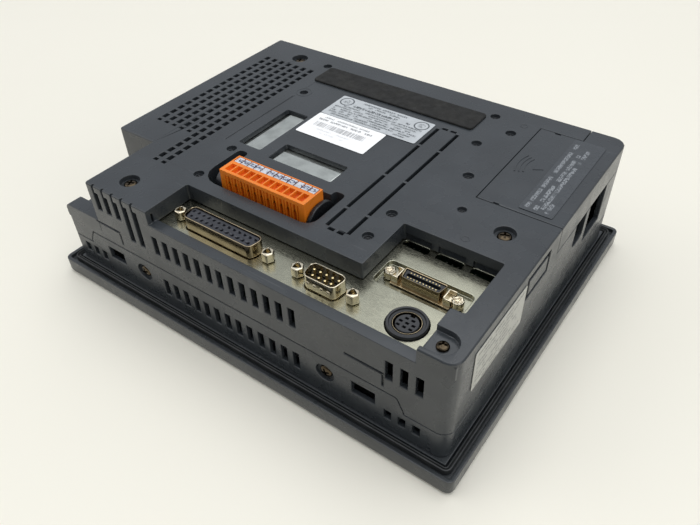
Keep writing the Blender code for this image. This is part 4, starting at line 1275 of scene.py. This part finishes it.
@dataclass
class PortWell:
    """The plated sheet in the well and the four ports that stand on it."""

    finishes: Finishes
    plate_round: float = 0.28
    slot_corner: float = 1.35
    rim_round: float = 0.2
    jack_round: float = 0.6
    dimple_radius: float = 0.85
    printer_half: tuple[float, float] = (8.8, 2.7)
    printer_lean: float = 0.9
    printer_wall: float = 0.45
    contacts: int = 10
    contact_pitch: float = 1.3
    latch: tuple[float, float] = (9.7, 12.1)
    jack_foot: float = 52.2
    core_top: float = 52.7
    dimple_steps: tuple[float, ...] = (-4.6, -1.55, 1.55, 4.6)
    dimple_depth: float = 0.32

    def build(self) -> None:
        """Builds and dresses the well."""
        self.build_plate()
        self.build_d_port("serial", "bronze_shell")
        self.build_d_port("data", "nickel_plate")
        self.build_dimples()
        self.build_printer_port()
        self.build_tool_port()

    def build_plate(self) -> None:
        """The plate, with round-ended slots and softened edges."""
        shape = copied("connector_plate")
        low, high = box_mm("connector_plate")
        back = high.y * MM - 0.0063
        upright = [edge for edge in sharp_edges(shape)
                   if abs(edge.verts[0].co.z - edge.verts[1].co.z) > 0.9 * edge.calc_length()
                   and back < edge.verts[0].co.y < high.y * MM - 0.0008
                   and edge.verts[0].co.x > low.x * MM + 0.08]
        rounded(shape, upright, self.slot_corner, 4)
        rounded(shape, sharp_edges(shape), self.plate_round, 3)
        Piece("port_plate", "plated_steel", stands_for=("connector_plate",)).finish(
            shape, self.finishes["plated_steel"])

    def build_d_port(self, name: str, shell: str) -> None:
        """A D-shaped port: its shell, insert, contacts and jackscrews.

        Args:
            name: The port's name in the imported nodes.
            shell: The shell's finish.
        """
        Piece(f"{name}_shell_rim", "nickel_plate", stands_for=(f"{name}_port_shell",)).finish(
            softened(f"{name}_port_shell", self.rim_round, 3), self.finishes[shell])
        node = f"{name}_port_insert"
        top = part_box(node)[1].z - 0.1 * MM
        if name == "serial":
            insert = softened(node, 0.3, 1, lambda edge: edge.calc_length() < 0.6 * MM
                              and min(vert.co.z for vert in edge.verts) > top)
            materials = [self.finishes["contact_plastic"]]
        else:
            insert = softened(node, 0.12)
            for face in insert.faces:
                face.material_index = int(face.calc_center_median().z > self.core_top * MM)
            materials = [self.finishes["core_plastic"], self.finishes["gold_contact"]]
        Piece(f"{name}_insert_block", "port_plastic", stands_for=(node,)).finish(
            insert, *materials)
        for side in Side:
            jack = f"{name}_jackscrew_{side.word}"
            Piece(f"{jack}_nut", "nickel_plate", stands_for=(jack,)).finish(
                softened(jack, self.jack_round, 3,
                         lambda edge: edge.verts[0].co.z > self.jack_foot * MM
                         and edge.calc_length() > MM),
                self.finishes["nickel_plate"])

    def build_dimples(self) -> None:
        """The round dimples pressed in the smaller D-shaped shell's front."""
        low, high = box_mm("data_port_shell")
        middle = (low + high) / 2
        shapes = []
        for step in self.dimple_steps:
            shape = bmesh.new()
            bmesh.ops.create_uvsphere(shape, u_segments=20, v_segments=10, radius=MM)
            bmesh.ops.scale(shape, verts=shape.verts,
                            vec=(self.dimple_radius, self.dimple_depth, self.dimple_radius))
            bmesh.ops.translate(shape, vec=Vector((middle.x + step, middle.y - 4.05, 55.0)) * MM,
                                verts=shape.verts)
            shapes.append(shape)
        Piece("data_shell_dimples", "nickel_plate", smooth=60.0).finish(
            joined(shapes), self.finishes["nickel_plate"])

    def build_printer_port(self) -> None:
        """The ribbon-contact port in its tray: shell, insert, contacts, latches and posts."""
        low, high = box_mm("printer_port_shell")
        x, y = ((low + high) / 2).xy
        half_x, half_y = self.printer_half
        shell = bmesh.new()
        sections = ((0.0, low.z + 0.02), (0.0, high.z - 0.3), (0.12, high.z - 0.05),
                    (self.printer_wall - 0.1, high.z - 0.08), (self.printer_wall, high.z - 0.3),
                    (self.printer_wall, low.z))
        loops = [rounded_loop(shell, (x, y), (half_x - inwards, half_y - inwards),
                              0.7 - inwards / 2, height, 4, self.printer_lean)
                 for inwards, height in sections]
        bridge(shell, loops, closed=True)
        flange = block((x - half_x - 3.6, y - 3.4, 50.3), (x + half_x + 3.6, y + 3.4, 50.9), 0.2)
        latches = []
        for side in Side:
            near, far = (x + side.value * reach for reach in self.latch)
            inner, outer = min(near, far), max(near, far)
            latches.append(block((inner, y - 2.3, 50.6), (outer, y + 2.3, 52.6), 0.25))
            for edge in (-1, 1):
                arm = block((inner, y + edge * 2.6 - 0.25, 50.6),
                            (outer + 0.4, y + edge * 2.6 + 0.25, 54.4), 0.15)
                latches.append(arm)
            latches.append(block((near - 0.3, y - 2.6, 50.6), (near + 0.3, y + 2.6, 54.6), 0.15))
        Piece("printer_shell_rim", "nickel_plate", stands_for=("printer_port_shell",)).finish(
            joined((shell, flange)), self.finishes["bronze_shell"])
        Piece("printer_latches", "nickel_plate").finish(
            joined(latches), self.finishes["nickel_plate"])
        self.build_printer_insert(x, y, half_x - self.printer_wall - 0.2,
                                  half_y - self.printer_wall - 0.2)
        for side in Side:
            node = f"printer_port_screw_{side.word}"
            Piece(f"{node}_post", "nickel_plate", stands_for=(node,)).finish(
                softened(node, 0.45, 3), self.finishes["nickel_plate"])

    def build_printer_insert(self, x: float, y: float, half_x: float, half_y: float) -> None:
        """The black insert with its slot and two rows of bright contacts.

        Args:
            x: Its middle's X.
            y: Its middle's Y.
            half_x: Half its length.
            half_y: Half its width.
        """
        low, high = box_mm("printer_port_insert")
        shape = bmesh.new()
        slot_x, slot_y = half_x - 1.2, 0.75
        sections = ((half_x, half_y, low.z), (half_x, half_y, high.z),
                    (slot_x, slot_y, high.z - 0.03), (slot_x, slot_y, high.z - 3.0))
        loops = [rounded_loop(shape, (x, y), (across, deep), 0.35, height, 3, self.printer_lean
                              if across == half_x else 0.0)
                 for across, deep, height in sections]
        bridge(shape, loops)
        Piece("printer_insert_block", "port_plastic",
              stands_for=("printer_port_insert",)).finish(shape, self.finishes["port_plastic"])
        middles = [x + (i - (self.contacts - 1) / 2) * self.contact_pitch
                   for i in range(self.contacts)]
        tabs = [block((middle - 0.28, y + row - 0.26, high.z - 0.5),
                      (middle + 0.28, y + row + 0.26, high.z + 0.12), 0.08, 1)
                for middle in middles for row in (-1.3, 1.3)]
        Piece("printer_contacts", "nickel_plate").finish(
            joined(tabs), self.finishes["gold_contact"])

    def build_tool_port(self) -> None:
        """The round port: a stepped collar, a bright ring and the core with its contacts."""
        low, high = box_mm("tool_port_shell")
        centre = (low + high) / 2
        top = high.z
        axis = (centre.x, centre.y, 0.0)
        collar = ring_lathe([(5.45, low.z), (5.45, top - 0.75), (5.6, top - 0.62),
                             (6.35, top - 0.62), (6.45, top - 0.45), (6.6, top - 0.05),
                             (6.75, top), (7.3, top), (7.5, top - 0.15), (7.6, top - 0.4),
                             (7.6, low.z)], axis)
        Piece("tool_port_collar", "port_plastic", stands_for=("tool_port_shell",)).finish(
            collar, self.finishes["port_plastic"])
        ring = ring_lathe([(5.0, low.z + 2), (5.0, top - 0.75), (5.06, top - 0.62),
                           (5.2, top - 0.62), (5.26, top - 0.75), (5.26, low.z + 2)], axis)
        Piece("tool_port_ring", "nickel_plate").finish(ring, self.finishes["bronze_shell"])
        low, high = box_mm("tool_port_insert")
        core = mesh_object(lathe([(0.0, high.z), (4.1, high.z), (4.3, high.z - 0.2),
                                  (4.3, low.z), (0.0, low.z)], axis))
        places = [(column * 2.5, 1.9) for column in (-0.5, 0.5)]
        places += [(column * 2.5, row) for column in (-1, 0, 1) for row in (-0.1, -2.1)]
        slots = [block((centre.x + sx - 0.72, centre.y + sy - 0.5, high.z - 2.5),
                       (centre.x + sx + 0.72, centre.y + sy + 0.5, high.z + 1))
                 for sx, sy in places]
        slots.append(block((centre.x - 0.9, centre.y + 3.2, high.z - 2.5),
                           (centre.x + 0.9, centre.y + 5.0, high.z + 1)))
        cut_from(core, joined(slots))
        Piece("tool_port_core", "port_plastic", stands_for=("tool_port_insert",)).finish(
            taken_back(core), self.finishes["core_plastic"])


@dataclass
class SupplyPlug:
    """The orange plug, its header, the two release levers and the marker strip."""

    finishes: Finishes
    poles: int = 12
    pitch: float = 3.5
    foot: float = 52.3
    step: float = 1.5
    window_width: float = 2.85
    window_front: float = 1.5
    window_length: float = 4.7
    window_depth: float = 1.9
    lip: float = 1.9
    notch: float = 8.4
    edge_round: float = 0.16
    left_lever_more: float = 2.2
    foot_lift: float = 1.6
    tag_half: float = 1.5

    def build(self) -> None:
        """Builds and dresses the plug."""
        self.build_plug()
        Piece("header_body", "port_plastic", stands_for=("power_header",)).finish(
            softened("power_header", 0.2), self.finishes["port_plastic"])
        for side, body in ((Side.LEFT, Body.LEFT_LEVER), (Side.RIGHT, Body.RIGHT_LEVER)):
            node = f"lever_{side.word}"
            shape = softened(node, 0.45, 3)
            if side is Side.LEFT:
                self.thicken(shape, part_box(node)[0])
            Piece(f"{node}_arch", "port_plastic", body, (node,)).finish(
                shape, self.finishes["lever_plastic"])
        low, high = box_mm("marker_strip")
        film = PrintedFilm(
            "marker_plastic", (0.60, 0.62, 0.66), (0.10, 0.12, 0.20), Along.X,
            (PrintRow((low.y + high.y) / 2, 2.0, low.x + 0.6, high.x - 0.6, 1.9),), mottle=0.12)
        step = (high.x - low.x) / self.poles
        tags = [block((low.x + (i + 0.5) * step - self.tag_half, low.y, low.z),
                      (low.x + (i + 0.5) * step + self.tag_half, high.y, high.z), 0.12)
                for i in range(self.poles)]
        Piece("marker_card", "marker_plastic", Body.PLUG, ("marker_strip",)).finish(
            joined(tags), film.build())

    def thicken(self, shape: BMesh, low: Vector) -> None:
        """Moves the left lever's outer face outwards, with its foot kept clear of the board.

        Args:
            shape: The lever.
            low: The lever's lowest corner, in metres.
        """
        outer = [vert for vert in shape.verts if vert.co.x < low.x + 0.5 * MM]
        bmesh.ops.translate(shape, vec=(-self.left_lever_more * MM, 0, 0), verts=outer)
        foot = [vert for vert in outer if vert.co.z < low.z + 1.5 * MM]
        bmesh.ops.translate(shape, vec=(0, 0, self.foot_lift * MM), verts=foot)

    def build_plug(self) -> None:
        """The plug's body: a windowed head with a ribbed front, on a slimmer foot, its window
        floors a darker, redder orange as painted shade.
        """
        low, high = box_mm("power_plug")
        centres = [(low.x + high.x) / 2 + (i - (self.poles - 1) / 2) * self.pitch
                   for i in range(self.poles)]
        borders = [centres[0] - self.pitch / 2, *(x + self.pitch / 2 for x in centres)]
        head = Piece("plug_body", "orange_plastic", Body.PLUG, ("power_plug",))
        blank = mesh_object(block((low.x, low.y, self.foot), tuple(high), 0.3))
        for material in ("orange_plastic", "window_floor_painted_shade"):
            blank.data.materials.append(self.finishes[material])
        front = low.y + self.window_front
        cut_from(blank, joined([
            block((x - self.window_width / 2, front, high.z - self.window_depth),
                  (x + self.window_width / 2, front + self.window_length, high.z + 1))
            for x in centres]))
        strip_low, strip_high = box_mm("marker_strip")
        cut_from(blank, block((strip_low.x - 0.15, strip_low.y - 0.15, high.z - 0.8),
                              (strip_high.x + 0.15, strip_high.y + 0.15, high.z + 1)))
        for places, half, reach, top in (
            (borders[1:-1], 0.5, 0.95, high.z - self.lip),
            (centres, 0.3, 0.6, high.z - self.lip),
            (borders[1:-1], 0.8, 1.3, self.foot + self.notch),
        ):
            cut_from(blank, joined([
                block((x - half, low.y - 1, self.foot - 1), (x + half, low.y + reach, top))
                for x in places]))
        shape = taken_back(blank)
        bmesh.ops.remove_doubles(shape, verts=shape.verts, dist=LOOSE)
        # The faces at the windows' floor take the second finish, a darker, redder orange that
        # paints the shade in the windows.
        floor = (high.z - self.window_depth + 0.1) * MM
        bottom = (high.z - self.window_depth - 0.1) * MM
        for face in shape.faces:
            face.material_index = int(bottom < face.calc_center_median().z < floor)
        rounded(shape, sharp_edges(shape, 50.0), self.edge_round, 2)
        foot = block((low.x + self.step, low.y + self.step, low.z),
                     (high.x - self.step, high.y - self.step, self.foot + 0.2), 0.2)
        head.finish(joined((shape, foot)), self.finishes["orange_plastic"],
                    self.finishes["window_floor_painted_shade"])


@dataclass
class Labels:
    """The stuck-on films with their greeked print, and the foam strip."""

    finishes: Finishes
    edge_round: float = 0.06

    def build(self) -> None:
        """Builds and dresses the labels."""
        foam = Piece("foam_pad", "foam_strip", stands_for=("foam_strip",)).finish(
            softened("foam_strip", 0.25, 3), self.finishes["foam_strip"])
        for node, slot, body, film in (
            ("rating_label", "silver_label", Body.TERMINAL, self.rating_film()),
            ("serial_label", "paper_label", Body.TERMINAL, self.serial_film()),
            ("notice_label", "notice_label", Body.CARD_COVER, self.notice_film()),
            ("side_label", "silver_label", Body.TERMINAL, self.side_film()),
        ):
            Piece(f"{node}_film", slot, body, (node,)).finish(
                softened(node, self.edge_round, 2), film.build())

    def rating_film(self) -> PrintedFilm:
        """The silver film, with rows of print and two plain rings.

        Returns:
            The film.
        """
        low, high = box_mm("rating_label")
        middle, top = (low.x + high.x) / 2, high.y
        rows = [PrintRow(top - 2.0, 1.2, middle - 13, middle + 13, 0.9),
                PrintRow(top - 4.0, 1.2, middle - 9, middle + 9, 0.9),
                PrintRow(top - 6.6, 1.8, middle - 16, middle + 16, 1.3)]
        rows += [PrintRow(top - 8.9 - 1.8 * i, 1.1, low.x + 2.0, high.x - 2.5 - (i % 3) * 2, 0.85)
                 for i in range(6)]
        rings = (PrintRing(low.x + 5.0, top - 4.6, 3.4), PrintRing(high.x - 5.0, top - 4.6, 3.4))
        return PrintedFilm("silver_label", (0.56, 0.585, 0.60), (0.10, 0.11, 0.12), Along.X,
                           tuple(rows), rings, 0.42, 0.25)

    def serial_film(self) -> PrintedFilm:
        """The white film, with rows of print and a band of bars.

        Returns:
            The film.
        """
        low, high = box_mm("serial_label")
        rows = [PrintRow(high.y - 2.4, 1.1, low.x + 5, high.x - 8, 0.8, 0.75),
                PrintRow(high.y - 4.8, 1.3, low.x + 3, high.x - 5, 0.9, 0.8),
                PrintRow(high.y - 9.2, 3.8, low.x + 4, high.x - 6, 0.7, 0.55, True),
                PrintRow(high.y - 13.2, 0.9, low.x + 8, high.x - 12, 0.8, 0.3),
                PrintRow(high.y - 15.4, 0.9, low.x + 11, high.x - 14, 0.8, 0.25)]
        return PrintedFilm("paper_label", (1.0, 1.0, 0.99), (0.08, 0.08, 0.09), Along.X,
                           tuple(rows), (), 0.30, mottle=0.01)

    def notice_film(self) -> PrintedFilm:
        """The tinted film, with four pale rows along the cover.

        Returns:
            The film.
        """
        low, high = box_mm("notice_label")
        rows = (PrintRow(low.x + 2.6, 1.5, low.y + 2, high.y - 4, 1.3, 0.6),
                PrintRow(low.x + 6.2, 1.5, low.y + 2, high.y - 12, 1.3, 0.6),
                PrintRow(low.x + 8.6, 1.5, low.y + 2, high.y - 7, 1.3, 0.6),
                PrintRow(low.x + 10.8, 1.5, low.y + 2, low.y + 9, 1.3, 0.6))
        return PrintedFilm("notice_label", (0.050, 0.056, 0.063), (0.36, 0.38, 0.40), Along.Y,
                           rows, (), 0.30, softness=0.25)

    def side_film(self) -> PrintedFilm:
        """The grey film on the right wall.

        Returns:
            The film.
        """
        low, high = box_mm("side_label")
        rows = tuple(PrintRow(high.z - 2.2 - 2.3 * i, 1.2, low.y + 2, high.y - 2 - (i % 3) * 4,
                              1.0, 0.75) for i in range(8))
        return PrintedFilm("side_label_film", (0.50, 0.50, 0.46), (0.12, 0.12, 0.12), Along.WALL,
                           rows, (), 0.45, 0.2)


@dataclass
class Innards:
    """The boards, brackets and connectors that show through the openings."""

    finishes: Finishes

    def build(self) -> None:
        """Dresses the inner nodes and rounds the raised rim of the shield's pads."""
        for node, finish in (("main_board", "circuit_board"), ("power_board", "circuit_board"),
                             ("backlight_inverter", "circuit_board"),
                             ("expansion_connector", "port_plastic"),
                             ("clock_battery", "galvanised_steel")):
            dress(node, self.finishes[finish])
        Piece("shield_pads", "galvanised_steel", stands_for=("shield_plate",)).finish(
            softened("shield_plate", 0.85, 4, lambda edge: min(
                vert.co.z for vert in edge.verts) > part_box("shield_plate")[1].z - 0.1 * MM),
            self.finishes["galvanised_steel"])


# ------------------------------------------------------------------ studio


@dataclass
class Studio:
    """The pale floor, the soft lights and the camera."""

    floor_half: float = 3000.0
    eye: Point = (0.1523324, -0.1999320, 0.2197318)
    right: Point = (0.81356606, 0.58100941, -0.02320195)
    down: Point = (0.37326896, -0.55243776, -0.74530719)
    ahead: Point = (-0.44584812, 0.59769607, -0.66631739)
    lens: float = 34.1439
    sensor_width: float = 36.0
    nearest: float = 0.01

    def build(self) -> None:
        """Builds the studio."""
        self.build_floor()
        self.build_world()
        self.build_lights()
        self.build_camera()

    def build_floor(self) -> None:
        """A plain pale floor that the terminal lies on."""
        shape = bmesh.new()
        bmesh.ops.create_grid(shape, x_segments=1, y_segments=1, size=self.floor_half * MM)
        mesh = bpy.data.meshes.new("floor")
        shape.to_mesh(mesh)
        shape.free()
        floor = bpy.data.objects.new("floor", mesh)
        bpy.context.scene.collection.objects.link(floor)
        graph = NodeGraph("pale_floor")
        colour = graph.blend(graph.noise(180.0, 2.0), (0.90, 0.86, 0.745), (0.92, 0.88, 0.77))
        graph.put("Base Color", colour)
        graph.put("Roughness", 0.45)
        mesh.materials.append(graph.material)

    def build_world(self) -> None:
        """A soft surround, dimmer at the horizon than overhead."""
        world = bpy.data.worlds.new("studio")
        bpy.context.scene.world = world
        world.use_nodes = True
        nodes, links = world.node_tree.nodes, world.node_tree.links
        place = nodes.new("ShaderNodeTexCoord")
        split = nodes.new("ShaderNodeSeparateXYZ")
        links.new(place.outputs["Generated"], split.inputs[0])
        ramp = nodes.new("ShaderNodeValToRGB")
        links.new(split.outputs[2], ramp.inputs["Fac"])
        first, last = ramp.color_ramp.elements
        first.position, first.color = 0.0, (0.42, 0.42, 0.41, 1.0)
        last.position, last.color = 0.9, (0.90, 0.94, 1.0, 1.0)
        middle = ramp.color_ramp.elements.new(0.35)
        middle.color = (0.50, 0.52, 0.55, 1.0)
        ahead = nodes.new("ShaderNodeMapRange")
        for key, number in (("From Min", -0.25), ("From Max", -0.85), ("To Min", 1.0),
                            ("To Max", 0.45)):
            ahead.inputs[key].default_value = number
        links.new(split.outputs[1], ahead.inputs["Value"])
        dimmed = nodes.new("ShaderNodeVectorMath")
        dimmed.operation = "SCALE"
        links.new(ramp.outputs["Color"], dimmed.inputs[0])
        links.new(ahead.outputs["Result"], dimmed.inputs["Scale"])
        links.new(dimmed.outputs["Vector"], nodes["Background"].inputs["Color"])
        nodes["Background"].inputs["Strength"].default_value = 0.9

    def build_lights(self) -> None:
        """Three large soft lamps: one overhead, and a weaker one low on each side."""
        for name, place, size, power, colour in (
            ("overhead", (0.1, 0.35, 2.2), 2.4, 24.0, (1.0, 1.0, 0.99)),
            ("left_fill", (-1.7, -0.9, 1.3), 1.4, 6.0, (1.0, 0.99, 0.97)),
            ("right_fill", (1.8, -0.35, 0.8), 1.4, 4.5, (1.0, 0.99, 0.97)),
        ):
            lamp = bpy.data.lights.new(name, "AREA")
            lamp.shape = "SQUARE"
            lamp.size = size
            lamp.energy = power
            lamp.color = colour
            made = bpy.data.objects.new(name, lamp)
            made.location = place
            made.rotation_mode = "QUATERNION"
            made.rotation_quaternion = (-Vector(place)).to_track_quat("-Z", "Y")
            bpy.context.scene.collection.objects.link(made)

    def build_camera(self) -> None:
        """The camera, above and in front of the right corner."""
        data = bpy.data.cameras.new("camera")
        data.lens = self.lens
        data.sensor_width = self.sensor_width
        data.sensor_fit = "HORIZONTAL"
        data.clip_start = self.nearest
        camera = bpy.data.objects.new("camera", data)
        columns = (Vector(self.right), -Vector(self.down), -Vector(self.ahead))
        matrix = Matrix(columns).transposed().to_4x4()
        matrix.translation = Vector(self.eye)
        camera.matrix_world = matrix
        bpy.context.scene.collection.objects.link(camera)
        bpy.context.scene.camera = camera
        bpy.context.scene.view_settings.view_transform = "Standard"


def main() -> None:
    """Builds every sub-assembly in order."""
    logging.basicConfig(level=logging.INFO, format="%(name)s: %(message)s")
    finishes = Finishes()
    finishes.build()
    for assembly in (Studio(), DisplayFront(finishes), BodyShell(finishes), CardCover(finishes),
                     Screws(finishes), PortWell(finishes), SupplyPlug(finishes),
                     Labels(finishes), Innards(finishes)):
        LOG.info("building %s", type(assembly).__name__)
        assembly.build()
    bpy.context.view_layer.update()


if __name__ == "__main__":
    main()
